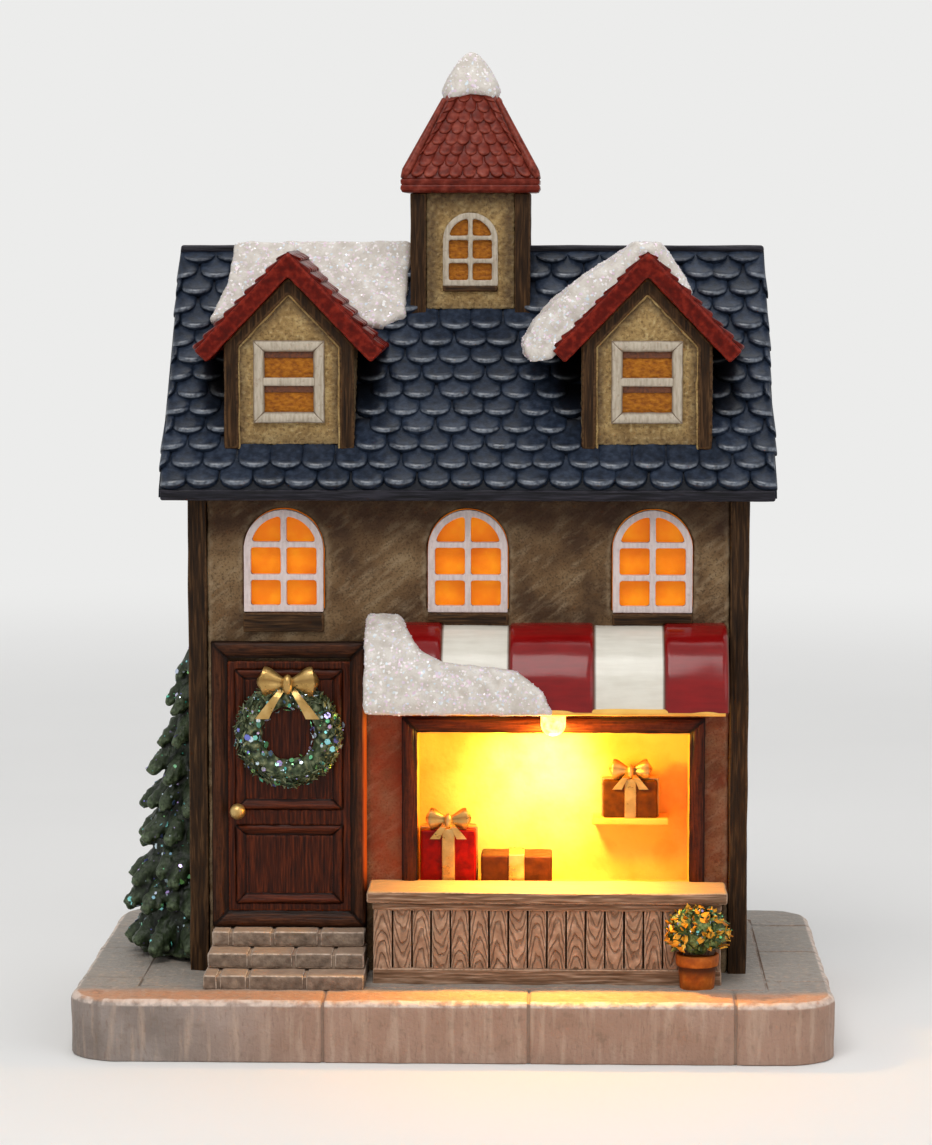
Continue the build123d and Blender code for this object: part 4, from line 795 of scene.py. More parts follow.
paints = {
    "stone": stone_paint(),
    "plaster": plaster_paint(),
    "timber": timber_paint("timber paint", srgb(25, 14, 6), srgb(50, 32, 16), srgb(88, 62, 38)),
    "slate": slate_paint(),
    "fascia": timber_paint("fascia paint", srgb(15, 14, 17), srgb(29, 28, 34), srgb(52, 50, 58), 0.4),
    "dormer_red": red_paint("dormer red paint", srgb(42, 5, 1), srgb(90, 15, 5), srgb(150, 45, 28), 0.28),
    "turret_red": red_paint("turret red paint", srgb(56, 12, 5), srgb(107, 36, 24), srgb(162, 84, 68), 0.36),
    "stucco": stucco_paint(),
    "window": frame_paint("window paint", srgb(194, 178, 175), srgb(212, 197, 194), 0.25),
    "aged_window": frame_paint("aged window paint", srgb(160, 147, 128), srgb(188, 176, 158), 0.6),
    "lit_pane": lit_pane(),
    "painted_pane": painted_pane(),
    "shadow_strip": shadow_strip_paint(),
    "door": timber_paint("door paint", srgb(28, 9, 4), srgb(62, 24, 9), srgb(100, 44, 20), 0.3),
    "surround": timber_paint("door frame paint", srgb(24, 10, 4), srgb(54, 27, 12), srgb(92, 52, 30), 0.36,
                             0.7),
    "gold": gold_paint(),
    "wreath": leaf_paint("wreath leaf paint", srgb(22, 31, 20), srgb(62, 74, 48), srgb(132, 138, 104)),
    "bush": leaf_paint("bush leaf paint", srgb(26, 40, 20), srgb(64, 84, 40), srgb(128, 140, 80)),
    "petal": leaf_paint("petal paint", srgb(150, 84, 10), srgb(216, 142, 24), srgb(246, 196, 78)),
    "tree": leaf_paint("tree paint", srgb(9, 15, 6), srgb(32, 42, 23), srgb(86, 100, 72)),
    "glitter": glitter_paint("glitter flakes", 0.6, srgb(150, 220, 226), srgb(84, 196, 176),
                             srgb(140, 208, 116), srgb(112, 126, 214), srgb(176, 150, 206),
                             srgb(206, 226, 236)),
    "snow_glitter": glitter_paint("snow glitter", 0.15, srgb(250, 246, 248), srgb(240, 212, 228),
                                  srgb(252, 252, 252), srgb(220, 232, 244), srgb(246, 230, 236)),
    "brick": brick_paint(),
    "plank": plank_paint(),
    "weathered": timber_paint("weathered board paint", srgb(90, 64, 45), srgb(136, 105, 82),
                              srgb(188, 158, 134)),
    # The counter's top is painted lighter and warmer as the lamp's light on it
    "counter": timber_paint("counter board paint", srgb(90, 64, 45), srgb(136, 105, 82), srgb(188, 158, 134),
                            top=srgb(206, 166, 116)),
    "cream": cream_paint(),
    "awning_red": enamel_paint("awning red enamel", srgb(104, 8, 9), srgb(142, 15, 15)),
    "awning_white": enamel_paint("awning ivory enamel", srgb(206, 200, 186), srgb(230, 226, 214)),
    "snow": snow_paint(),
    "red_paper": paper_paint("red gift paper", srgb(88, 3, 2), srgb(130, 8, 4)),
    "brown_paper": paper_paint("brown gift paper", srgb(50, 21, 6), srgb(76, 35, 10)),
    "gold_paper": paper_paint("gold gift paper", srgb(62, 32, 2), srgb(94, 52, 4)),
    "clay": clay_paint(),
    "black_plastic": moulded_plastic("black moulded plastic", srgb(22, 22, 23), srgb(34, 34, 36)),
    "white_plastic": moulded_plastic("white moulded plastic", srgb(206, 204, 198), srgb(222, 220, 214), 0.3),
    "lamp": lamp_lens(),
    "metal": plated_metal(),
    "jacket": cell_jacket(),
    "lead": moulded_plastic("red lead sleeve", srgb(84, 14, 14), srgb(116, 22, 20), 0.35),
    "floor": floor_paint(),
}


def place(mesh, name, paint, slot, replaces=(), body="house"):
    """Make a piece of the object from a finished mesh."""
    mesh.materials.clear()
    mesh.materials.append(paints[paint])
    piece = bpy.data.objects.new(name, mesh)
    bpy.context.scene.collection.objects.link(piece)
    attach(piece, body)
    if replaces:
        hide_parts(*replaces)
    return piece


def write_attributes(mesh, **values):
    """Store per-vertex numbers or vectors that the paints read."""
    for key, array in values.items():
        array = np.asarray(array, np.float32)
        kind, field = ("FLOAT", "value") if array.ndim == 1 else ("FLOAT_VECTOR", "vector")
        mesh.attributes.new(key, kind, "POINT").data.foreach_set(field, array.ravel())


class Shape:
    """One mesh, put together from separate bits."""

    def __init__(self):
        self.points, self.faces, self.count = [], [], 0
        self.values = {"relief": [], "tint": [], "grain": []}

    def add(self, points, faces, relief=0.0, tint=0.0, grain=None):
        points = np.asarray(points, float)
        number = len(points)
        self.points.append(points)
        self.faces.extend([[corner + self.count for corner in face] for face in faces])
        self.values["relief"].append(np.broadcast_to(relief, number))
        self.values["tint"].append(np.broadcast_to(tint, number))
        self.values["grain"].append(points / mm if grain is None else grain)
        self.count += number
        return self

    def block(self, low, high, kind, along=2):
        return self.add(**block(low, high, kind, along))

    def bare_mesh(self, name):
        mesh = bpy.data.meshes.new(name)
        mesh.from_pydata(np.concatenate(self.points), [], self.faces)
        return mesh

    def piece(self, name, paint, slot, replaces=(), sharp=50):
        mesh = self.bare_mesh(name)
        write_attributes(mesh, **{key: np.concatenate(parts) for key, parts in self.values.items()})
        work = bmesh.new()
        work.from_mesh(mesh)
        bmesh.ops.remove_doubles(work, verts=work.verts, dist=weld_gap)
        bmesh.ops.recalc_face_normals(work, faces=work.faces)
        work.to_mesh(mesh)
        work.free()
        mesh.shade_smooth()
        mesh.set_sharp_from_angle(angle=math.radians(sharp))
        return place(mesh, name, paint, slot, replaces)


def grid_faces(rows, columns, wrap=False):
    """Quads of a grid of points; wrap joins the last column to the first."""
    faces = []
    for row in range(rows - 1):
        for column in range(columns if wrap else columns - 1):
            after = (column + 1) % columns
            faces.append([row * columns + column, row * columns + after,
                          (row + 1) * columns + after, (row + 1) * columns + column])
    return faces


def rings(loops, close_back=False):
    """Points and faces of a tube through loops of equal length, with its ends closed or joined."""
    number = len(loops[0])
    faces = grid_faces(len(loops), number, True)
    last = (len(loops) - 1) * number
    if close_back:
        faces += [[last + i, last + (i + 1) % number, (i + 1) % number, i] for i in range(number)]
    else:
        faces += [list(range(number)), list(range(last, last + number))]
    return np.concatenate(loops), faces


def block(low, high, kind, along=2):
    """Hand-made rounded block: points, faces, relief and grain along one axis."""
    edge, step, rough, lump, stretch = block_sizes[kind]
    low, high = np.asarray(low, float), np.asarray(high, float)
    edge = min(edge, 0.45 * (high - low).min())
    axes = []
    for start, end in zip(low, high):
        inner = np.linspace(start + edge, end - edge, max(2, int((end - start) / step)))
        rim = edge * np.array([0.0, 0.3, 0.65])
        axes.append(np.concatenate([start + rim, inner, end - rim[::-1]]))
    points, faces, count = [], [], 0
    for axis in range(3):
        first, second = [other for other in range(3) if other != axis]
        for level in (low[axis], high[axis]):
            a, b = np.meshgrid(axes[first], axes[second], indexing="ij")
            sheet = np.empty((a.size, 3))
            sheet[:, axis], sheet[:, first], sheet[:, second] = level, a.ravel(), b.ravel()
            faces += [[corner + count for corner in face] for face in grid_faces(*a.shape)]
            points.append(sheet)
            count += len(sheet)
    points = np.concatenate(points)
    core = np.clip(points, low + edge, high - edge)
    out = points - core
    out /= np.linalg.norm(out, axis=1)[:, None]
    points = core + out * edge
    if rough:
        pull = np.ones(3)
        pull[along] = stretch
        points = points + out * rough * noise_at(points, lump, pull, draw.uniform(0, 50))[:, None]
    relief = smooth_step(0.3, 0.7, np.sort(np.abs(out), axis=1)[:, 1])
    order = [axis for axis in range(3) if axis != along] + [along]
    grain = ((points - (low + high) / 2) / mm)[:, order] + [0, 0, draw.uniform(-40, 40)]
    return {"points": points, "faces": faces, "relief": relief, "grain": grain, "tint": draw.uniform(0, 1)}


def mesh_arrays(mesh):
    """Vertex places, normals and edges of a mesh as arrays."""
    points, normals = np.empty(len(mesh.vertices) * 3), np.empty(len(mesh.vertices) * 3)
    edges = np.empty(len(mesh.edges) * 2, int)
    mesh.vertices.foreach_get("co", points)
    mesh.vertices.foreach_get("normal", normals)
    mesh.edges.foreach_get("vertices", edges)
    return points.reshape(-1, 3), normals.reshape(-1, 3), edges.reshape(-1, 2)


def neighbour_mean(values, edges, count):
    """Mean of the values at each vertex's neighbours."""
    total, number = np.zeros((count, *values.shape[1:])), np.zeros(count)
    for near, far in ((0, 1), (1, 0)):
        np.add.at(total, edges[:, near], values[edges[:, far]])
        np.add.at(number, edges[:, near], 1)
    return total / number.reshape(-1, *[1] * (values.ndim - 1))


def stands_out(mesh):
    """How far each vertex stands out from its neighbours: 1 on an edge, -1 in a crease."""
    points, normals, edges = mesh_arrays(mesh)
    spacing = np.linalg.norm(points[edges[:, 0]] - points[edges[:, 1]], axis=1).mean()
    rise = ((points - neighbour_mean(points, edges, len(points))) * normals).sum(1) / spacing
    for _ in range(2):
        rise = (rise + neighbour_mean(rise, edges, len(points))) / 2
    return np.clip(rise * 9, -1, 1)


def remeshed(mesh, voxel, soften):
    """Closed, evenly meshed skin round a mesh, with its edges softened."""
    work = bpy.data.objects.new("work", mesh)
    bpy.context.scene.collection.objects.link(work)
    remesh = work.modifiers.new("skin", "REMESH")
    remesh.mode = "VOXEL"
    remesh.voxel_size = voxel
    if soften:
        smooth = work.modifiers.new("soften", "SMOOTH")
        smooth.iterations = soften
    result = bpy.data.meshes.new_from_object(work.evaluated_get(bpy.context.evaluated_depsgraph_get()))
    bpy.data.objects.remove(work)
    return result


def cast(name, node, paint, slot, kind, bits=None, grow=0.0, along=2, tint=None):
    """Piece cast from a solid, or from bits, and shown in its place: soft at its edges, uneven by hand."""
    voxel, soften, rough, lump, stretch = cast_sizes[kind]
    mesh = remeshed(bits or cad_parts[node].data.copy(), voxel, soften)
    points, normals = mesh_arrays(mesh)[:2]
    if rough or grow:
        push = grow + rough * noise_at(points, lump, stretch, draw.uniform(0, 50))
        mesh.vertices.foreach_set("co", (points + normals * push[:, None]).ravel())
        mesh.update()
    order = [axis for axis in range(3) if axis != along] + [along]
    tints = tint(points) if tint else np.full(len(points), 0.5)
    write_attributes(mesh, relief=stands_out(mesh), grain=points[:, order] / mm, tint=tints)
    mesh.shade_smooth()
    mesh.name = name
    return place(mesh, name, paint, slot, (node,))


def shop_glow(points):
    """How much of the shop lamp's light shows through the thin wall beside the shop: 1 at its left edge."""
    low, high = box_of("shop_frame")
    counter = box_of("counter_top")[1][2]
    awning = box_of("awning")[0]
    front = box_of("house_walls")[0][1]
    near = 1 - smooth_step(front + tint_full, front + tint_end, points[:, 1])
    across = smooth_step(awning[0] - glow_edge, awning[0] + glow_edge, points[:, 0])
    across = across * (1 - 0.5 * smooth_step(low[0], high[0], points[:, 0]))
    up = smooth_step(counter - glow_foot, counter, points[:, 2])
    return near * across * up * (1 - smooth_step(awning[2], awning[2] + glow_head, points[:, 2]))


def wall_tint(points):
    """The shop lamp's light through the wall, above zero, and the painted shade under the eaves, below zero.
    """
    low, high = box_of("house_walls")
    eaves = box_of("main_roof")[0][2]
    inward = np.minimum(points[:, 1] - low[1], high[1] - points[:, 1])
    painted_shade = smooth_step(eaves - eaves_shade_reach, eaves - eaves_shade_full, points[:, 2])
    return shop_glow(points) - painted_shade * (1 - smooth_step(tint_full, tint_end, inward))


def rectangle(middle_x, middle_z, width, height, per_side):
    """Points round a rectangle in the XZ plane, the same number on each side."""
    corners = np.array([(-1, -1), (1, -1), (1, 1), (-1, 1)]) * (width / 2, height / 2) + (middle_x, middle_z)
    share = np.array([0, mitre_share, *np.linspace(0.05, 0.95, per_side - 3), 1 - mitre_share])[:, None]
    return np.concatenate([a + (b - a) * share for a, b in zip(corners, np.roll(corners, -1, axis=0))])


def mitred_frame(middle_x, middle_z, width, height, back_y, profile, per_side=14):
    """Frame with mitred corners, from (inset, how far it stands out) pairs, and the grain of its sides."""
    loops, grain = [], []
    upright = np.tile(np.repeat([0, 1], per_side), 2)
    for inset, proud in profile:
        flat = rectangle(middle_x, middle_z, width - 2 * inset, height - 2 * inset, per_side)
        loops.append(np.stack([flat[:, 0], np.full(len(flat), back_y - proud), flat[:, 1]], axis=1))
        run = np.where(upright == 1, flat[:, 1], flat[:, 0])
        grain.append(np.stack([np.full(len(flat), inset), np.full(len(flat), proud), run], axis=1) / mm)
    points, faces = rings(loops, close_back=True)
    highest = max(proud for inset, proud in profile)
    mitre = np.tile(np.arange(len(loops[0])) % per_side == 0, len(loops))
    ends = (0, 1, len(profile) - 2, len(profile) - 1)
    # Relief: 0.5 on the raised face for dry-brushed paint, below zero on the frame's sides for painted shade,
    # and -1 in the mitre joints
    levels = [0.5 if proud == highest else 0.0 for inset, proud in profile]
    levels = [-0.7 if number in ends else level for number, level in enumerate(levels)]
    relief = np.repeat(levels, len(loops[0]))
    relief = np.where(mitre, -1.0, relief)
    points = points + frame_waver * noise_at(points, frame_lump)[:, None]
    points[:, 1] += np.where(mitre, mitre_depth, 0)
    return {"points": points, "faces": faces, "relief": relief, "grain": np.concatenate(grain)}


def tile(width, length, rounding, butt, low=-1.0, high=1.0):
    """Fish-scale tile: (across, down from its head, up) points, faces and relief, cut off at low and high."""
    along_shares = np.array([0, 0, 0.2, 0.5, 0.8, 0.92, 0.975, 1, 1])
    rise_shares = np.array([-0.5, 0.1, 0.2, 0.42, 0.82, 1.0, 0.88, 0.55, -0.5])
    side_shares = np.array([0, 0, 0.04, 0.12, 0.3, 0.5, 0.7, 0.88, 0.96, 1, 1])
    side_rises = np.array([0, 0.5, 0.76, 0.92, 1.04, 1.08, 1.04, 0.92, 0.76, 0.5, 0])
    spots = low + (high - low) * side_shares
    tips = length - rounding * (1 - np.sqrt(1 - np.clip(spots, -1, 1) ** 2))
    down = along_shares[:, None] * tips[None, :]
    sunk = rise_shares[0]
    up = sunk + (rise_shares[:, None] - sunk) * side_rises[None, :]
    points = np.stack([np.broadcast_to(spots * width / 2, down.shape), down, up * butt], axis=2)
    rows, columns = down.shape
    rim = [column for column in range(columns)]
    rim += [row * columns + columns - 1 for row in range(1, rows)]
    rim += [(rows - 1) * columns + column for column in range(columns - 2, -1, -1)]
    rim += [row * columns for row in range(rows - 2, 0, -1)]
    # Relief down the tile: below zero at its head, for the painted shadow of the tile above; up to 1 on its
    # rim, for dry-brushed paint and a painted highlight
    rim_shares = np.array([-0.5, -0.5, -0.05, 0.0, 0.25, 0.8, 1.0, 0.1, -0.7])
    fade = 1 - 0.5 * smooth_step(0.6, 1.0, np.abs(spots))
    relief = np.where(rim_shares[:, None] > 0, rim_shares[:, None] * fade[None, :], rim_shares[:, None])
    return points.reshape(-1, 3), grid_faces(rows, columns) + [rim], relief.ravel()


def lay_tiles(shape, foot, across, up_slope, rows, pitch, width, butt, span, taper=0.0, hidden=None,
              round_share=red_round_share, painted_shadow=None):
    """Courses of tiles up a slope from the middle of its foot line, staggered by half a tile."""
    across, up_slope = np.array(across), np.array(up_slope)
    normal = np.cross(across, up_slope)
    for row in range(rows):
        rise = row * pitch
        half = span - taper * rise
        length = min(tile_overlap_share * pitch, (rows - row) * pitch)
        count = int(half / width) + 2
        for number in range(-count, count + 1):
            middle = (number + 0.5 * (row % 2)) * width
            low, high = (-half - middle) / (width / 2), (half - middle) / (width / 2)
            low, high = max(low, -1.0), min(high, 1.0)
            tip = foot + across * middle + up_slope * rise
            if high - low < 0.3 or (hidden is not None and hidden(tip)):
                continue
            points, faces, relief = tile(width, length, round_share * width, butt, low, high)
            lean = draw.normal(0, 0.035)
            side = points[:, :1] + middle + lean * points[:, 1:2]
            lift = points[:, 2:] * draw.uniform(0.9, 1.1)
            climb = rise + length - points[:, 1:2] + draw.normal(0, 0.02) * pitch
            side = side * (span - taper * climb) / half
            world = foot + across * side + up_slope * climb + normal * lift
            tint = draw.uniform(0, 1)
            # A painted shadow lowers the tile's tint below zero, which the slate paint turns near black
            shape.add(world, faces, relief, tint if painted_shadow is None else tint - 3 * painted_shadow(world))


def blob(middle, sizes, rows=9, columns=14):
    """Closed ellipsoid: points and faces."""
    loops = []
    for angle in np.linspace(-1.5, 1.5, rows):
        turn = full_turn(columns)
        ring = np.stack([np.cos(turn) * math.cos(angle), np.sin(turn) * math.cos(angle),
                         np.full(columns, math.sin(angle))], axis=1)
        loops.append(np.asarray(middle) + ring * np.asarray(sizes))
    return rings(loops)


def tube(path, radii, columns=10):
    """Closed tube along a path of points."""
    path = np.asarray(path, float)
    loops = []
    for here, ahead, radius in zip(path, np.gradient(path, axis=0), np.broadcast_to(radii, len(path))):
        ahead = ahead / np.linalg.norm(ahead)
        side = np.cross(ahead, (0, 0, 1) if abs(ahead[2]) < 0.9 else (1, 0, 0))
        side /= np.linalg.norm(side)
        turn = full_turn(columns)[:, None]
        loops.append(here + radius * (np.cos(turn) * side + np.sin(turn) * np.cross(ahead, side)))
    return rings(loops)


def leaf(middle, along, out, length, width, thickness):
    """Small pointed leaf, bent away from the surface at its tip."""
    along = np.asarray(along) / np.linalg.norm(along)
    side = np.cross(along, out)
    side /= np.linalg.norm(side)
    lift = np.cross(side, along)
    points = []
    for run, wide, bend in ((-0.5, 0.1, 0.0), (-0.15, 0.85, 0.12), (0.15, 1.0, 0.2), (0.5, 0.1, 0.55)):
        for across, up in ((-0.5, 0.1), (0.0, 0.6), (0.5, 0.1), (0.0, -0.4)):
            points.append(middle + along * run * length + side * across * wide * width
                          + lift * (bend * length * 0.4 + up * thickness))
    return rings([np.array(points[start:start + 4]) for start in range(0, 16, 4)])


def strip(path, widths, thickness):
    """Flat ribbon that faces the front, along a path of points."""
    loops = []
    for spot, wide in zip(np.asarray(path), widths):
        across, back = np.array([wide / 2, 0, 0]), np.array([0, thickness, 0])
        loops.append(np.array([spot - across, spot + across, spot + across + back, spot - across + back]))
    return rings(loops)


def bow(shape, middle, width, height, depth, tail, hang):
    """Ribbon bow that faces the front: pleated wings, a knot, and tails that hang at the depth hang."""
    middle = np.asarray(middle, float)
    turn = full_turn(28)
    for side in (-1, 1):
        loops, relief = [], []
        for share in np.linspace(0.02, 1, 15):
            wing = 0.34 + 0.66 * smooth_step(0, 0.75, share)
            end = 1 - 0.5 * smooth_step(0.85, 1, share)
            pleat = 1 + 0.16 * np.sin(6 * turn + 0.5) * (1 - 0.5 * share)
            curl = 1 - 0.12 * np.cos(turn) ** 2 * share
            lift = share * height * 0.08
            loops.append(np.column_stack([middle[0] + side * width / 2 * share * curl,
                                          middle[1] + np.sin(turn) * depth / 2 * wing * end * pleat,
                                          middle[2] + np.cos(turn) * height / 2 * wing * end + lift]))
            relief.append(np.sin(6 * turn + 0.5) * 0.6)
        points, faces = rings(loops)
        shape.add(points, faces, np.concatenate(relief))
        shares = np.linspace(0, 1, 7)
        path = [(middle[0] + side * tail * 0.75 * share ** 0.8,
                 middle[1] + (hang - middle[1]) * min(1, share * 3),
                 middle[2] - tail * share) for share in shares]
        shape.add(*strip(path, width * (0.08 + 0.14 * shares), ribbon_thickness))
    shape.add(*blob(middle + (0, -depth * 0.3, 0), (width * 0.09, depth * 0.36, height * 0.34)), relief=0.3)


def frame_profile(shares, border, depth):
    """Profile of a frame from shares of its border and of its depth."""
    return [(inset * border, proud * depth) for inset, proud in shares]


def scatter_flakes(name, sources, slot, paint="glitter"):
    """Thin hexagonal glitter flakes lying at odd angles on the outside of some pieces."""
    count, small, large, lift = flake_sizes[name]
    shape = Shape()
    spots, outs, areas = [], [], []
    for source in sources:
        for face in source.data.polygons:
            spots.append(face.center)
            outs.append(face.normal)
            areas.append(face.area)
    spots, outs, areas = np.array(spots), np.array(outs), np.array(areas)
    turn = full_turn(6)[:, None]
    for pick in draw.choice(len(spots), count, p=areas / areas.sum()):
        out = outs[pick] + draw.normal(0, 0.35, 3)
        out /= np.linalg.norm(out)
        side = np.cross(out, draw.normal(0, 1, 3))
        side /= np.linalg.norm(side)
        radius = (small + (large - small) * draw.uniform(0, 1) ** 3) / 2
        ring = radius * (np.cos(turn) * side + np.sin(turn) * np.cross(out, side))
        middle = spots[pick] + outs[pick] * lift
        points, faces = rings([middle + ring, middle + ring + out * flake_thickness])
        shape.add(points, faces, tint=draw.uniform(0, 1))
    return shape.piece(name, paint, slot, sharp=20)


# Paving: a skin over the base's faces and the top that shows round the house
def base_outline(inset, half_x, half_y, runs):
    """Rounded rectangle round the base, with points at the same places on each straight run."""
    radius = max(base_corner - inset, least_corner)
    inner_x, inner_y = half_x - inset - radius, half_y - inset - radius
    full_x, full_y = half_x - base_corner, half_y - base_corner
    across, deep = runs
    points = []
    for middle, start, run in (((inner_x, inner_y), 0, -across), ((-inner_x, inner_y), 90, -deep),
                               ((-inner_x, -inner_y), 180, across), ((inner_x, -inner_y), 270, deep)):
        for angle in np.radians(np.linspace(start, start + 90, 12)):
            points.append((middle[0] + radius * math.cos(angle), middle[1] + radius * math.sin(angle)))
        for spot in run:
            if start in (0, 180):
                points.append((spot * inner_x / full_x, middle[1] + (radius if start == 0 else -radius)))
            else:
                points.append((middle[0] + (-radius if start == 90 else radius), spot * inner_y / full_y))
    return np.array(points)


def base_run(length, joints):
    """Places along a straight run of the base: even steps, and close steps at each joint."""
    close = np.array([-2, -1.2, -0.8, -0.4, 0, 0.4, 0.8, 1.2, 2]) * joint_half
    even = np.linspace(-length, length, int(2 * length / base_step))
    spots = [even] + [joint + close for joint in joints]
    spots = np.unique(np.round(np.concatenate(spots), 7))
    return spots[np.abs(spots) < length]


def build_base():
    high = box_of("base_plinth")[1]
    half_x, half_y = high[0] + skin, high[1] + skin
    top = high[2] + skin
    under = top - paving_depth
    joints_x = np.array(kerb_joint_shares["x"]) * 2 * half_x
    joints_y = np.array(kerb_joint_shares["y"]) * 2 * half_y
    runs = (base_run(half_x - base_corner, joints_x), base_run(half_y - base_corner, joints_y))
    face_rows = [(0.0, z) for z in np.linspace(base_lift, top - base_edge, 12)]
    edge_rows = [(base_edge * (1 - math.cos(angle)), top - base_edge * (1 - math.sin(angle)))
                 for angle in np.radians((22, 45, 68, 90))]
    kerb_rows = [(inset, top) for inset in np.linspace(base_edge + kerb_start, kerb_width - joint_half, 11)]
    groove_rows = [(kerb_width + share * joint_half, top - joint_depth * depth)
                   for share, depth in ((-0.5, 0.7), (0, 1), (0.5, 0.7))]
    inner_rows = [(inset, top) for inset in np.linspace(kerb_width + joint_half, paving_reach, 16)]
    under_rows = [(paving_reach, under), (paving_depth, under), (paving_depth, base_lift)]
    rows = face_rows + edge_rows + kerb_rows + groove_rows + inner_rows + under_rows
    loops, relief = [], []
    for number, (inset, level) in enumerate(rows):
        flat = base_outline(inset, half_x, half_y, runs)
        loop = np.column_stack([flat, np.full(len(flat), level)])
        out = flat - base_outline(inset + outline_step, half_x, half_y, runs)
        out = np.column_stack([out / np.linalg.norm(out, axis=1)[:, None], np.zeros(len(flat))])
        gap_x = np.abs(flat[:, :1] - joints_x).min(1)
        gap_y = np.abs(flat[:, 1:] - joints_y).min(1)
        on_x = np.abs(flat[:, 1]) > half_y - kerb_width
        in_corner = on_x & (np.abs(flat[:, 0]) > half_x - kerb_width) & (gap_x > 2 * joint_half)
        gap = np.where(on_x & ~in_corner, gap_x, gap_y)
        groove = (1 - smooth_step(0.4 * joint_half, 1.5 * joint_half, gap)) * (inset < kerb_width)
        on_edge = number - len(face_rows)
        # Relief of each row: 0.9 on the rounded edge, for pale worn paint and a painted highlight; below zero
        # in the joints and underneath, for darker paint
        drybrush_and_light = 0.9 if 0 <= on_edge < 3 else (-0.6 if level < top - base_lift and inset > base_edge else 0.0)
        if number < len(rows) - len(under_rows):
            chip = (chip_depth * noise_at(loop, chip_size, (1, 1, 5))
                    + bulge_depth * noise_at(loop, bulge_size))
            drop = (dip_depth * noise_at(loop, dip_size, shift=9)
                    + sag_depth * noise_at(loop, sag_size, shift=4))
            on_face = number < len(face_rows) + 2
            loop = loop + out * ((chip - groove * joint_depth) * on_face)[:, None]
            loop[:, 2] += (drop - groove * joint_depth) * (not on_face)
        loops.append(loop)
        relief.append(np.where(groove > 0.4, -0.45, drybrush_and_light))
    paving = Shape().add(*rings(loops, close_back=True), np.concatenate(relief))
    paving.piece("paving", "stone", "paved_stone")


# Main roof: a plain core under courses of slate tiles
def roof_planes():
    """Ridge line's Y and Z, half depth at the eaves and slope of the main roof."""
    low, high = box_of("main_roof")
    half = (high[1] - low[1]) / 2
    return (low[1] + high[1]) / 2, high[2], half, (high[2] - low[2] - roof_fascia) / half


def roof_height(depth):
    """Height of the bare main roof at some Y."""
    ridge_y, ridge_z, _, slope = roof_planes()
    return ridge_z - abs(depth - ridge_y) * slope


def under_roof_trim(spot):
    """Whether a tile with its tip at a spot on the main roof is inside a dormer or the turret."""
    low, high = box_of("turret_body")
    if low[0] < spot[0] < high[0] and low[1] - foot_room < spot[1] < high[1] + foot_room:
        return True
    for side in ("left", "right"):
        low, high = box_of(f"dormer_{side}_body")
        roof_low, roof_high = box_of(f"dormer_{side}_roof")
        across = abs(spot[0] - (roof_low[0] + roof_high[0]) / 2)
        cover = roof_high[2] - across * 2 * dormer_fall / (roof_high[0] - roof_low[0])
        in_front = low[1] - foot_room < spot[1] < roof_planes()[0]
        if in_front and low[0] < spot[0] < high[0] and spot[2] + valley_room < cover:
            return True
    return False


def dormer_painted_shadow(points):
    """Painted shadow of the dormers on the main roof beside them, 1 under their eaves."""
    painted_shadow = np.zeros(len(points))
    for side in ("left", "right"):
        low, high = box_of(f"dormer_{side}_body")
        eaves = box_of(f"dormer_{side}_roof")[0][2]
        away = np.abs(points[:, 0] - (low[0] + high[0]) / 2) - (high[0] - low[0]) / 2
        below = eaves - points[:, 2]
        beside = 1 - smooth_step(dormer_shadow_width / 3, dormer_shadow_width, away)
        beside = beside * smooth_step(-dormer_shadow_width, 0, below) * (1 - smooth_step(0, 2 * dormer_shadow_width, below))
        painted_shadow = np.maximum(painted_shadow, beside)
    return np.where(points[:, 1] < roof_planes()[0], painted_shadow, 0)


def build_main_roof():
    low, high, middle, size = measures("main_roof")
    ridge_y, ridge_z, half, slope = roof_planes()
    span = size[0] / 2
    angle = math.atan(slope)
    eaves = low[2] + roof_fascia
    section = [(-half, low[2]), (-half, eaves), (0, ridge_z), (half, eaves), (half, low[2]),
               (half - roof_lip, low[2]), (0, ridge_z - roof_thickness), (-half + roof_lip, low[2])]
    loops = []
    for share in np.linspace(-1, 1, 60):
        loops.append(np.array([(middle[0] + share * (span - gable_lean(level)), ridge_y + depth, level)
                               for depth, level in section]))
    # The core shows in the gaps between tiles; relief below zero paints it dark, as shade there
    core = Shape().add(*rings(loops), relief=-0.4)
    core.piece("main_roof_core", "slate", "slate_tiles", ("main_roof",))
    tiles = Shape()
    length = half / math.cos(angle)
    for side in (-1, 1):
        foot = np.array([middle[0], ridge_y + side * half, eaves])
        up_slope = (0, -side * math.cos(angle), math.sin(angle))
        lay_tiles(tiles, foot, (-side, 0, 0), up_slope, slate_rows, length / slate_rows, slate_width,
                  slate_butt, span, roof_lean / length, under_roof_trim, slate_round_share, dormer_painted_shadow)
    tiles.piece("main_roof_tiles", "slate", "slate_tiles")
    trim = Shape()
    trim.block((low[0] + roof_lean, ridge_y - ridge_half, ridge_z - ridge_sunk),
               (high[0] - roof_lean, ridge_y + ridge_half, ridge_z + ridge_proud), "ridge", 0)
    for depth in (low[1], high[1]):
        trim.block((low[0] + eaves_short, depth - eaves_before, low[2] - eaves_below),
                   (high[0] - eaves_short, depth + eaves_behind, eaves), "eaves", 0)
    trim.piece("main_roof_trim", "fascia", "slate_tiles")


def gable_lean(level):
    """How far the gable ends of the main roof lean in at some height."""
    low, high = box_of("main_roof")
    return roof_lean * (level - low[2]) / (high[2] - low[2])


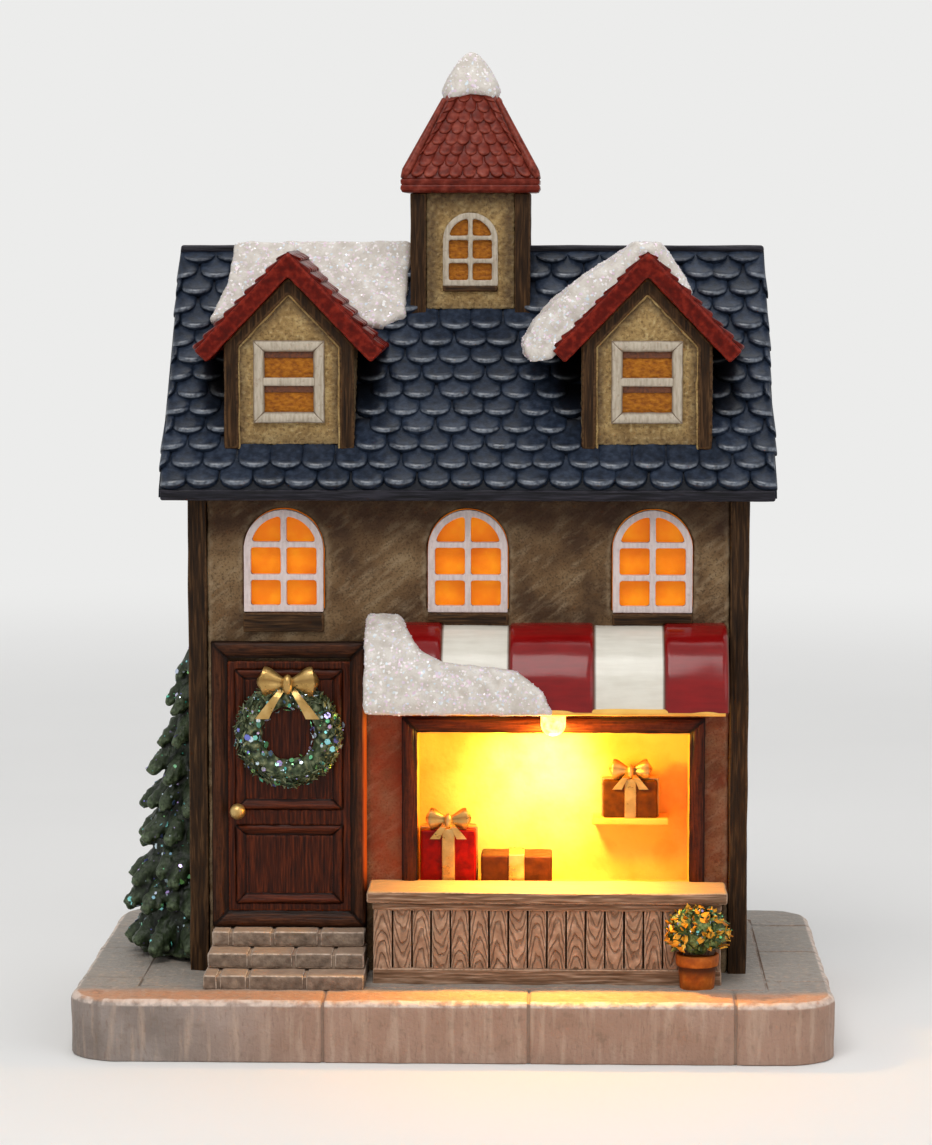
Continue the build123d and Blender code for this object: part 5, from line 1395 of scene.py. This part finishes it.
# Dormers
def build_dormer(side):
    name = f"dormer_{side}"
    low, high = box_of(f"{name}_roof")
    middle_x = (low[0] + high[0]) / 2
    half = (high[0] - low[0]) / 2
    angle = math.atan2(dormer_fall, half)
    length = math.hypot(dormer_fall, half)
    depth = roof_planes()[0] - low[1]
    body_low, body_high = box_of(f"{name}_body")
    inner = (body_high[0] - body_low[0]) / 2 - dormer_post
    apex = high[2] - dormer_board / math.cos(angle) - dormer_rafter

    def painted_shade(points):
        """Painted shade where the stucco meets its timbers and the main roof."""
        across = np.abs(points[:, 0] - middle_x)
        under = (apex - across * math.tan(angle) - points[:, 2]) * math.cos(angle)
        above = points[:, 2] - roof_height(body_low[1])
        beside = 1 - smooth_step(0, painted_shade_width, np.minimum(inner - across, under))
        return np.maximum(beside, 0.7 * (1 - smooth_step(0, 2 * painted_shade_width, above)))

    cast(f"{name}_stucco", f"{name}_body", "stucco", "tan_stucco", "stucco", tint=painted_shade)
    cast(f"{name}_beams", f"{name}_timber", "timber", "dark_timber", "dormer_timber")
    cast(f"{name}_boards", f"{name}_roof", "dormer_red", "red_tiles", "dormer_board")
    tiles = Shape()
    for turn in (-1, 1):
        foot = np.array([middle_x + turn * half, low[1] + barge_board + depth / 2, high[2] - dormer_fall])
        up_slope = (-turn * math.cos(angle), 0, math.sin(angle))
        lay_tiles(tiles, foot, (0, turn, 0), up_slope, dormer_rows, length / dormer_rows, dormer_tile_width,
                  dormer_tile_butt, depth / 2,
                  hidden=lambda spot: spot[2] < roof_height(spot[1]) - dormer_tile_bury)
    tiles.piece(f"{name}_tiles", "dormer_red", "red_tiles")
    front = body_low[1] - edge_line_proud
    spring = apex - inner * math.tan(angle)
    line = Shape()
    for turn in (-1, 1):
        corners = ((turn * inner, roof_height(front)), (turn * inner, spring), (0, apex))
        for start, end in zip(np.array(corners), np.array(corners[1:])):
            flat = start + (end - start) * np.linspace(0, 1, 12)[:, None]
            path = np.column_stack([middle_x + flat[:, 0], np.full(12, front), flat[:, 1]])
            line.add(*tube(path + edge_line_waver * draw.normal(0, 1, (12, 3)), edge_line_radius, 8))
    line.piece(f"{name}_edge_line", "stucco", "tan_stucco")
    build_dormer_window(name)


def build_dormer_window(name):
    """Casement with one bar, and the shaded heads of its panes."""
    low, high, middle, size = measures(f"{name}_window_frame")
    border, bar = casement_border, casement_bar
    profile = frame_profile(casement_shares, border, size[1])
    window = Shape().add(**mitred_frame(middle[0], middle[2], size[0], size[2], high[1], profile))
    window.block((low[0] + border * 0.8, low[1] + casement_bar_sunk, middle[2] - bar),
                 (high[0] - border * 0.8, high[1], middle[2] + bar), "window_bar", 0)
    window.piece(f"{name}_casement", "aged_window", "window_white", (f"{name}_window_frame",))
    pane_low, pane_high = box_of(f"{name}_window_pane")
    shadow_strips = Shape()
    # Dark strips under the top rail and under the bar, painted as the shadow on the panes
    for head in (high[2] - border, middle[2] - bar):
        shadow_strips.block((low[0] + border, pane_low[1] - shadow_strip_proud, head - shadow_strip_height),
                      (high[0] - border, pane_high[1], head + shadow_strip_hidden), "shadow_strip", 0)
    shadow_strips.piece(f"{name}_reveals", "shadow_strip", "amber_pane")


# Turret
def build_turret():
    body_low, body_high = box_of("turret_body")

    def painted_shade(points):
        """Painted shade beside the posts, under the eaves and at the foot of the front."""
        gaps = np.concatenate([points[:, :2] - body_low[:2], body_high[:2] - points[:, :2]], axis=1)
        beside = 1 - smooth_step(turret_post, turret_post + painted_shade_width, np.sort(gaps, axis=1)[:, 1])
        under = 1 - smooth_step(0, 2.5 * painted_shade_width, body_high[2] - points[:, 2])
        above = points[:, 2] - roof_height(body_low[1])
        return np.maximum(np.maximum(0.9 * beside, under), 0.7 * (1 - smooth_step(0, 2 * painted_shade_width, above)))

    cast("turret_stucco", "turret_body", "stucco", "tan_stucco", "stucco", tint=painted_shade)
    cast("turret_timbers", "turret_posts", "timber", "dark_timber", "turret_timber")
    cast("turret_lattice", "turret_window_frame", "aged_window", "window_white", "turret_lattice")
    build_turret_roof()


def build_turret_roof():
    """Steep roof with rolled fascia, hip rolls and courses of tiles."""
    low, _, middle, size = measures("turret_roof")
    half = size[:2] / 2
    foot = low[2] + turret_fascia
    square = np.array([(-1, -1), (1, -1), (1, 1), (-1, 1)])
    loops = []
    for level, grow in fascia_roll_shares:
        loops.append(np.column_stack([middle[:2] + square * (half + grow * turret_fascia),
                                      np.full(4, low[2] + level * turret_fascia)]))
    for share in (0.0, turret_top_share):
        loops.append(np.column_stack([middle[:2] + square * half * (1 - share),
                                      np.full(4, foot + share * turret_roof_rise)]))
    core = Shape().add(*rings(loops))
    shares = np.linspace(0, 1, 24)
    for corner in square:
        start = np.append(middle[:2] + corner * half, foot)
        end = np.append(middle[:2] + corner * half * (1 - hip_end_share),
                        foot + hip_end_share * turret_roof_rise)
        path = [start + (end - start) * share for share in shares]
        # Hip rolls; relief 0.8 gives them dry-brushed paint and a painted highlight
        core.add(*tube(path, hip_radius * np.interp(shares, (0, 0.08, 1), (0.5, 1, 0.6))), relief=0.8)
    core.piece("turret_roof_core", "turret_red", "red_tiles", ("turret_roof",))
    tiles = Shape()
    for axis, other in ((0, 1), (1, 0)):
        length = math.hypot(half[other], turret_roof_rise)
        for side in (-1, 1):
            spot = np.append(middle[:2], foot)
            spot[other] += side * half[other]
            up_slope = np.zeros(3)
            up_slope[other] = -side * half[other] / length
            up_slope[2] = turret_roof_rise / length
            across = np.zeros(3)
            across[axis] = -side if axis == 0 else side
            lay_tiles(tiles, spot, across, up_slope, turret_rows, turret_top_share * length / turret_rows,
                      turret_tile_width, turret_tile_butt, half[axis] - turret_tile_inset,
                      half[axis] / length)
    tiles.piece("turret_roof_tiles", "turret_red", "red_tiles")


# Snow
def build_dormer_snow():
    """Heap over the right dormer's roof, thickest at the foot of its left slope."""
    low, high = box_of("dormer_right_roof")
    middle_x = (low[0] + high[0]) / 2
    angle = math.atan2(dormer_fall, (high[0] - low[0]) / 2)
    loops = []
    for setback, share in dormer_snow_rows:
        loop = []
        for run, thick in dormer_snow_line:
            side = math.copysign(1, run)
            lift = thick * share if thick > 0 else thick
            loop.append((middle_x + (run * math.cos(angle) + side * lift * math.sin(angle)) * mm,
                         low[1] + setback * mm,
                         high[2] + (-abs(run) * math.sin(angle) + lift * math.cos(angle)) * mm))
        loops.append(np.array(loop))
    heap = Shape().add(*rings(loops)).bare_mesh("dormer_snow_bits")
    return cast("dormer_roof_snow", "dormer_snow", "snow", "snow", "dormer_snow", heap)


def build_snow():
    patches = [
        cast("main_roof_snow", "roof_snow", "snow", "snow", "roof_snow", grow=roof_snow_grow),
        build_dormer_snow(),
        cast("awning_top_snow", "awning_snow", "snow", "snow", "awning_snow", grow=awning_snow_grow),
    ]
    low, _, middle, size = measures("turret_snow_cap")
    half = size[:2] * cap_size_share / 2
    turn = full_turn(72)
    round_square = np.stack([np.sign(np.cos(turn)) * np.abs(np.cos(turn)) ** 0.5,
                             np.sign(np.sin(turn)) * np.abs(np.sin(turn)) ** 0.5], axis=1)
    foot_wave = cap_wave * np.cos(4 * turn) + cap_ripple * np.sin(5 * turn + 0.6)
    loops = []
    for rise, wide in cap_shares:
        level = low[2] + rise * size[2] + foot_wave * max(0.0, 1 - rise * 3.5)
        loops.append(np.column_stack([middle[:2] + round_square * half * wide, level]))
    points, faces = rings(loops)
    points = points + (points - middle) * 0.07 * noise_at(points, cap_lump)[:, None]
    cap = Shape().add(points, faces)
    patches.append(cap.piece("turret_cap_snow", "snow", "snow", ("turret_snow_cap",)))
    scatter_flakes("snow_flakes", patches, "snow", "snow_glitter")


# Walls, posts and upper windows
def build_walls():
    cast("plaster_walls", "house_walls", "plaster", "wall_plaster", "plaster", tint=wall_tint)
    cast("corner_timbers", "corner_posts", "timber", "dark_timber", "post")
    cast("sill_timbers", "window_sills", "timber", "dark_timber", "sill", along=0)
    for side in ("left", "centre", "right"):
        cast(f"window_lattice_{side}", f"upper_window_frame_{side}", "window", "window_white",
             "window_lattice", grow=-lattice_thinning)


# Door, wreath and steps
def build_door():
    _, high, middle, size = measures("door_frame")
    profile = frame_profile(door_frame_shares, door_border, size[1])
    bits = mitred_frame(middle[0], middle[2], size[0], size[2], high[1], profile, 40)
    counter, awning = box_of("counter_top")[1][2], box_of("awning")[0][2]
    level = bits["points"][:, 2]
    lit = smooth_step(high[0] - lit_edge, high[0] - lit_edge_full, bits["points"][:, 0])
    lit = lit * smooth_step(counter - lit_foot, counter + lit_foot_full, level)
    surround = Shape().add(**bits, tint=lit * (1 - smooth_step(awning - lit_head, awning, level)))
    surround.piece("door_surround", "surround", "red_wood", ("door_frame",))
    cast("door_board", "door_leaf", "door", "red_wood", "door")
    low, high = box_of("door_leaf")
    width = high[0] - low[0] - 2 * panel_margin
    lower_low = low[2] + panel_margin
    lower_high = lower_low + lower_panel_height
    panels = Shape()
    for foot, head in ((lower_low, lower_high), (lower_high + panel_rail, high[2] - panel_margin)):
        level = (foot + head) / 2
        panels.add(**mitred_frame(middle[0], level, width, head - foot, low[1], panel_profile, 30))
    panels.piece("door_mouldings", "door", "red_wood")
    cast("door_handle", "door_knob", "gold", "gold_paint", "knob")


def build_wreath():
    _, high, middle, size = measures("door_wreath")
    thick = size[1] / 2
    radius = size[0] / 2 - thick
    core = cast("wreath_core", "door_wreath", "wreath", "green_boughs", "wreath")
    leaves = Shape()
    for _ in range(wreath_leaf_count):
        round_turn = draw.uniform(0, 2 * math.pi)
        tube_turn = draw.uniform(-2.4, 2.4)
        outward = np.array([math.cos(round_turn), 0, math.sin(round_turn)])
        out = outward * math.sin(tube_turn) + np.array([0, -math.cos(tube_turn), 0])
        spot = middle + outward * radius + out * thick * draw.uniform(0.85, 1.1)
        spot[1] = min(spot[1], high[1] - wreath_back)
        run = np.array([-math.sin(round_turn), 0, math.cos(round_turn)]) + draw.normal(0, 0.6, 3)
        length, width = draw.uniform(*wreath_leaf_length), draw.uniform(*wreath_leaf_width)
        points, faces = leaf(spot, run, out, length, width, wreath_leaf_thickness)
        leaves.add(points, faces, tint=draw.uniform(0, 1))
    leaves.piece("wreath_leaves", "wreath", "green_boughs", sharp=35)
    scatter_flakes("wreath_glitter", [core], "green_boughs")
    low, high, middle, size = measures("wreath_bow")
    ribbon = Shape()
    bow(ribbon, (middle[0], middle[1], high[2] - wreath_bow_drop), size[0], wreath_bow_height, size[1],
        wreath_bow_tail, low[1] - wreath_bow_hang)
    ribbon.piece("wreath_ribbon", "gold", "gold_paint", ("wreath_bow",))


def build_steps():
    low, high, _, size = measures("front_steps")
    rise = size[2] / 3
    tread = size[1] / 3
    bricks = Shape()
    mortar = Shape()
    for step in range(3):
        foot, head = low[2] + step * rise, low[2] + (step + 1) * rise
        front = low[1] + step * tread
        left, right = low[0] + step * step_inset, high[0] - step * step_inset
        marks = [0.0, *brick_joint_shares[2 - step], 1.0]
        for start, end in zip(marks, marks[1:]):
            bricks.block((left + start * (right - left) + brick_joint / 2, front, foot + brick_lift),
                         (left + end * (right - left) - brick_joint / 2, high[1], head), "brick", 0)
        mortar.block((left + mortar_inset, front + mortar_inset, foot),
                     (right - mortar_inset, high[1], head - mortar_drop), "mortar", 0)
    bricks.piece("step_bricks", "brick", "grey_brick", ("front_steps",))
    mortar.piece("step_mortar", "brick", "grey_brick")


# Shop front
def build_awning():
    low, high, _, size = measures("awning")
    reach = size[1] - awning_stripe_proud
    height = size[2] - awning_stripe_proud
    angles = np.radians(np.linspace(0, 90, 26))
    outward = np.stack([-np.cos(angles), np.sin(angles)], axis=1)
    for colour, first in (("red", 0), ("white", 1)):
        stripes = Shape()
        for number in range(first, 5, 2):
            start, end = [low[0] + size[0] * share for share in awning_stripe_shares[number:number + 2]]
            loops, relief = [], []
            for share in (0, 0, 0.012, 0.03, 0.06, *np.linspace(0.1, 0.9, 18), 0.94, 0.97, 0.988, 1, 1):
                inner = min(share, 1 - share) * (end - start)
                proud = awning_stripe_proud * smooth_step(0, stripe_round, inner) if colour == "red" else 0.0
                arc = (high[1], low[2]) + outward * (reach + proud, height + proud)
                arc = np.concatenate([arc, [(high[1], low[2])]])
                loop = np.column_stack([np.full(len(arc), start + share * (end - start)), arc])
                dent = dent_depth * noise_at(loop, dent_size, (1, 1.6, 1.6))
                loop[:-1, 1:] += outward * dent[:-1, None]
                loops.append(loop)
                relief.append(np.full(len(loop), -0.6 if inner < seam_width else 0.0))
            stripes.add(*rings(loops), relief=np.concatenate(relief))
        stripes.piece(f"awning_{colour}_stripes", f"awning_{colour}", "awning_paint",
                      ("awning",) if colour == "red" else ())
    turn = full_turn(14)
    spots = np.linspace(low[0] + hem_radius, high[0] - hem_radius, 60)
    thick = hem_radius * (1 + hem_waver_share * noise_at(np.outer(spots, (1, 0, 0)), hem_lump))
    loops = [np.column_stack([np.full(len(turn), spot), low[1] + hem_radius + radius * np.cos(turn),
                              low[2] + radius * np.sin(turn)]) for spot, radius in zip(spots, thick)]
    Shape().add(*rings(loops)).piece("awning_hem", "cream", "cream_paint")


def build_shop_front():
    _, high, middle, size = measures("shop_frame")
    counter_low, counter_high = box_of("counter_top")
    profile = frame_profile(shop_frame_shares, shop_border, size[1])
    foot = counter_high[2] - shop_frame_sunk
    bits = mitred_frame(middle[0], (foot + high[2]) / 2, size[0], high[2] - foot, high[1], profile, 40)
    Shape().add(**bits).piece("shop_surround", "door", "dark_timber", ("shop_frame",))
    shelf = Shape().block(*box_of("shop_shelf"), "shelf", 0)
    shelf.piece("shelf_board", "cream", "cream_paint", ("shop_shelf",))
    counter = Shape().block(counter_low, counter_high, "counter", 0)
    counter.piece("counter_slab", "counter", "counter_wood", ("counter_top",))


def build_counter_front():
    low, high, _, size = measures("counter_front")
    face = low[1] + plank_inset
    boards = Shape()
    pitch = (size[0] - 2 * board_width) / plank_count
    edges = [low[0], *[low[0] + board_width + number * pitch for number in range(plank_count + 1)], high[0]]
    for number, (start, end) in enumerate(zip(edges, edges[1:])):
        at_end = number in (0, plank_count + 1)
        proud = end_board_proud if at_end else draw.uniform(-plank_waver, plank_waver)
        boards.block((start + plank_gap / 2, face - proud, low[2]),
                     (end - plank_gap / 2, face + plank_thickness, high[2]), "plank")
    boards.piece("counter_planks", "plank", "counter_wood", ("counter_front",))
    trim = Shape()
    front, back = low[1] - trim_proud, face + trim_depth
    trim.block((low[0], front, low[2]), (high[0], back, low[2] + skirting_height), "skirting", 0)
    trim.block((low[0], front, high[2] - mould_height), (high[0], back, high[2]), "mould", 0)
    trim.piece("counter_trim", "weathered", "counter_wood")
    inside = Shape().block((low[0] + counter_inset, face + counter_gap, low[2]),
                           (high[0] - counter_inset, high[1], high[2] - counter_drop), "counter_body")
    inside.piece("counter_body", "timber", "counter_wood")


def build_gift(node, paper, slot, ribbon_width, body_height, bow_width):
    """Wrapped box, its crossed ribbon and, where there is one, its bow."""
    thick = ribbon_thickness
    low, high = box_of(node)
    low = low + (thick, thick, 0)
    high = high - (thick, thick, 0)
    top = low[2] + body_height
    wrap = Shape().block(low, (high[0], high[1], top), "paper")
    wrap.piece(f"{node}_paper", paper, slot, (node,))
    middle = (low + high) / 2
    half = ribbon_width / 2
    ribbon = Shape()
    ribbon.block((middle[0] - half, low[1] - thick, low[2]),
                 (middle[0] + half, high[1] + thick, top + thick), "ribbon")
    if bow_width:
        ribbon.block((low[0] - thick, middle[1] - half, low[2]),
                     (high[0] + thick, middle[1] + half, top + thick), "ribbon")
        knot = (middle[0], low[1] + gift_bow_inset, (top + high[2]) / 2)
        bow(ribbon, knot, bow_width * 1.1, (high[2] - top) * 1.2, gift_bow_depth, gift_bow_tail,
            low[1] - gift_bow_hang)
    ribbon.piece(f"{node}_ribbon", "gold", "gold_paint")


# Pot, bush and tree
def build_pot():
    low, _, middle, size = measures("plant_pot")
    radius = size[0] / 2
    middle[1] = low[1] + radius
    turn = full_turn(48)
    loops, relief = [], []
    for share, wide in pot_shares:
        loops.append(np.column_stack([middle[0] + radius * wide * np.cos(turn),
                                      middle[1] + radius * wide * np.sin(turn),
                                      np.full(len(turn), low[2] + share * size[2])]))
        # Relief below zero where the body meets the rim, for painted shade under the rim
        relief.append(np.full(len(turn), -0.7 if 0.6 < share < 0.67 else 0.0))
    points, faces = rings(loops)
    points = points + noise_at(points, pot_lump)[:, None] * np.array([pot_waver, pot_waver, 0])
    pot = Shape().add(points, faces, np.concatenate(relief))
    pot.piece("pot_clay", "clay", "terracotta", ("plant_pot",))


def build_bush():
    core = cast("bush_core", "plant_bush", "bush", "green_boughs", "bush")
    _, _, middle, size = measures("plant_bush")
    greens, petals = Shape(), Shape()
    for shape, count, lengths, lift in ((greens, bush_leaf_count, bush_leaf_length, 0.92),
                                        (petals, bush_petal_count, bush_petal_length, 1.02)):
        for _ in range(count):
            out = draw.normal(0, 1, 3)
            out /= np.linalg.norm(out)
            if out[1] > 0.5 or out[2] < -0.6:
                continue
            spot = middle + out * size / 2 * lift * draw.uniform(0.9, 1.08)
            points, faces = leaf(spot, draw.normal(0, 1, 3) + out * 0.5, out, draw.uniform(*lengths),
                                 draw.uniform(*bush_leaf_width), bush_leaf_thickness)
            shape.add(points, faces, tint=draw.uniform(0, 1))
    boughs = greens.piece("bush_leaves", "bush", "green_boughs", sharp=35)
    petals.piece("bush_petals", "petal", "green_boughs", sharp=35)
    scatter_flakes("bush_glitter", [core, boughs], "green_boughs")


def tree_bits():
    """Trunk, boughs and twigs of the tree before they are joined."""
    low, high, middle, size = measures("christmas_tree")
    axis = np.array([high[0], middle[1]])
    reach, _, height = size
    bits = Shape()
    for tier in range(tree_tiers):
        tip_share = 0.05 + 0.87 * tier / (tree_tiers - 1)
        spread = reach * 1.02 * (1 - tip_share) ** 0.52
        fall = height * (0.13 - 0.05 * tip_share)
        count = int(4 + 6 * (1 - tip_share))
        for number in range(count):
            turn = math.pi * (0.5 + (number + 0.5 * (tier % 2)) / (count - 0.5)) + draw.normal(0, 0.07)
            outward = np.array([math.cos(turn), math.sin(turn)])
            sideways = np.array([-outward[1], outward[0]])
            long = spread * draw.uniform(0.92, 1.12)
            tip = low[2] + height * tip_share + draw.normal(0, 0.012) * height
            thick = reach * 0.23 * (1 - 0.5 * tip_share)
            shares = np.linspace(0.1, 1, 9)
            path = [np.append(axis + outward * long * share, tip + fall * (1 - share ** 1.5))
                    for share in shares]
            bits.add(*tube(path, thick * (1.0 - 0.68 * shares ** 2.6), 12))
            for step, side in ((4, -1), (4, 1), (6, -1), (6, 1)):
                twig = thick * (0.74 - 0.06 * step)
                end = path[step] + np.append(sideways * side * twig * 1.7 + outward * twig, -twig * 1.3)
                bits.add(*tube([path[step], (path[step] + end) / 2, end], (twig, twig * 0.8, twig * 0.25), 8))
    levels = np.linspace(0.02, 0.99, 14)
    trunk = [np.append(axis, low[2] + height * level) for level in levels]
    return bits.add(*tube(trunk, reach * (0.05 + 0.78 * (1 - levels) ** 0.7), 24))


def build_tree():
    low, high = box_of("christmas_tree")
    mesh = remeshed(tree_bits().bare_mesh("tree_bits"), tree_voxel, 6)
    points, normals = mesh_arrays(mesh)[:2]
    relief = stands_out(mesh)
    push = (needle_depth * noise_at(points, needle_size, (1, 1, 1.6))
            + tuft_depth * noise_at(points, tuft_size))
    points = points + normals * push[:, None]
    points[:, 0] = np.minimum(points[:, 0], high[0] + tree_overlap)
    points[:, 2] = np.maximum(points[:, 2], low[2])
    mesh.vertices.foreach_set("co", points.ravel())
    write_attributes(mesh, relief=relief, tint=np.full(len(points), 0.45))
    mesh.shade_smooth()
    tree = place(mesh, "tree_boughs", "tree", "green_boughs", ("christmas_tree",))
    scatter_flakes("tree_glitter", [tree], "green_boughs")


# Solids that are shown as they are: paint, slot and nodes
solid_finishes = (
    ("stone", "paved_stone", ("base_plinth",)),
    ("cream", "cream_paint", ("shop_niche",)),
    ("lit_pane", "amber_pane", [f"upper_window_pane_{side}" for side in ("left", "centre", "right")]),
    ("painted_pane", "amber_pane",
     ("dormer_left_window_pane", "dormer_right_window_pane", "turret_window_pane")),
    ("black_plastic", "black_plastic", ("battery_tray", "battery_door", "switch_slider")),
    ("metal", "contact_metal", ("switch_body", "battery_contacts")),
    ("white_plastic", "white_plastic", ("shop_lamp_socket", "window_lamp_socket")),
    ("lamp", "lamp_lens", ("shop_lamp_bulb", "window_lamp_bulb")),
    ("jacket", "cell_jacket", ("battery_cells",)),
    ("lead", "lead_sleeve", ("lamp_leads",)),
)


def dress_solids():
    for paint, slot, nodes in solid_finishes:
        for node in nodes:
            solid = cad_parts[node]
            solid.data.materials.clear()
            solid.data.materials.append(paints[paint])


# Studio
def add_camera():
    camera_data = bpy.data.cameras.new("camera")
    camera_data.lens = camera_lens
    camera_data.sensor_width = camera_sensor
    camera = bpy.data.objects.new("camera", camera_data)
    camera.location = camera_place
    camera.rotation_euler = (math.radians(camera_tilt), 0, math.radians(camera_turn))
    bpy.context.scene.collection.objects.link(camera)
    bpy.context.scene.camera = camera


def add_floor():
    mesh = bpy.data.meshes.new("floor")
    points = [(x * floor_half, y * floor_half, 0) for y in (-1, 1) for x in (-1, 1)]
    mesh.from_pydata(points, [], grid_faces(2, 2))
    mesh.materials.append(paints["floor"])
    floor = bpy.data.objects.new("floor", mesh)
    bpy.context.scene.collection.objects.link(floor)
    return floor


def add_light(name, kind, power, colour, spot, turns):
    data = bpy.data.lights.new(name, kind)
    data.energy = power
    data.color = colour
    light = bpy.data.objects.new(name, data)
    light.location = spot
    light.rotation_euler = turns
    bpy.context.scene.collection.objects.link(light)
    return light


def add_studio_lights():
    """Soft lights round the object, turned to its middle."""
    for name, spot, size, power, colour in studio_lights:
        toward = np.array(studio_aim) - np.array(spot)
        tilt = math.atan2(math.hypot(toward[0], toward[1]), -toward[2])
        turn = math.atan2(toward[1], toward[0]) - math.pi / 2
        add_light(name, "AREA", power, colour, spot, (tilt, 0, turn)).data.size = size


def add_shop_lights(floor):
    """The shop lamp's light, as it falls inside, to the front and down. The last leaves out the floor."""
    low, _, middle, _ = measures("shop_lamp_bulb")
    for name, kind, power, colour, cone, tilt, turn in shop_lights:
        spot = (middle[0], middle[1], low[2] - shop_light_drop)
        light = add_light(name, kind, power, colour, spot, (math.radians(tilt), 0, math.radians(turn)))
        light.data.shadow_soft_size = shop_light_radius
        if kind == "SPOT":
            light.data.spot_size = math.radians(cone)
            light.data.spot_blend = 1.0
    receivers = bpy.data.collections.new("spill_receivers")
    light.light_linking.receiver_collection = receivers
    receivers.objects.link(floor)
    receivers.collection_objects[0].light_linking.link_state = "EXCLUDE"


def add_world():
    """Even light from all sides, and the pale background that is seen."""
    world = bpy.data.worlds.new("studio")
    world.use_nodes = True
    bpy.context.scene.world = world
    tree = world.node_tree
    light = tree.nodes["Background"]
    light.inputs["Color"].default_value = world_colour
    light.inputs["Strength"].default_value = world_strength
    shown = tree.nodes.new("ShaderNodeBackground")
    shown.inputs["Color"].default_value = background_colour
    shown.inputs["Strength"].default_value = 1.0
    mix = tree.nodes.new("ShaderNodeMixShader")
    tree.links.new(seen_rays(tree), mix.inputs[0])
    tree.links.new(light.outputs[0], mix.inputs[1])
    tree.links.new(shown.outputs[0], mix.inputs[2])
    tree.links.new(mix.outputs[0], tree.nodes["World Output"].inputs["Surface"])


def build_studio():
    add_camera()
    floor = add_floor()
    add_studio_lights()
    add_shop_lights(floor)
    add_world()
    bpy.context.scene.view_settings.view_transform = "Standard"


build_base()
build_main_roof()
build_dormer("left")
build_dormer("right")
build_turret()
build_snow()
build_walls()
build_door()
build_wreath()
build_steps()
build_awning()
build_shop_front()
build_counter_front()
for node, gift in gifts.items():
    build_gift(node, *gift)
build_pot()
build_bush()
build_tree()
dress_solids()
build_studio()
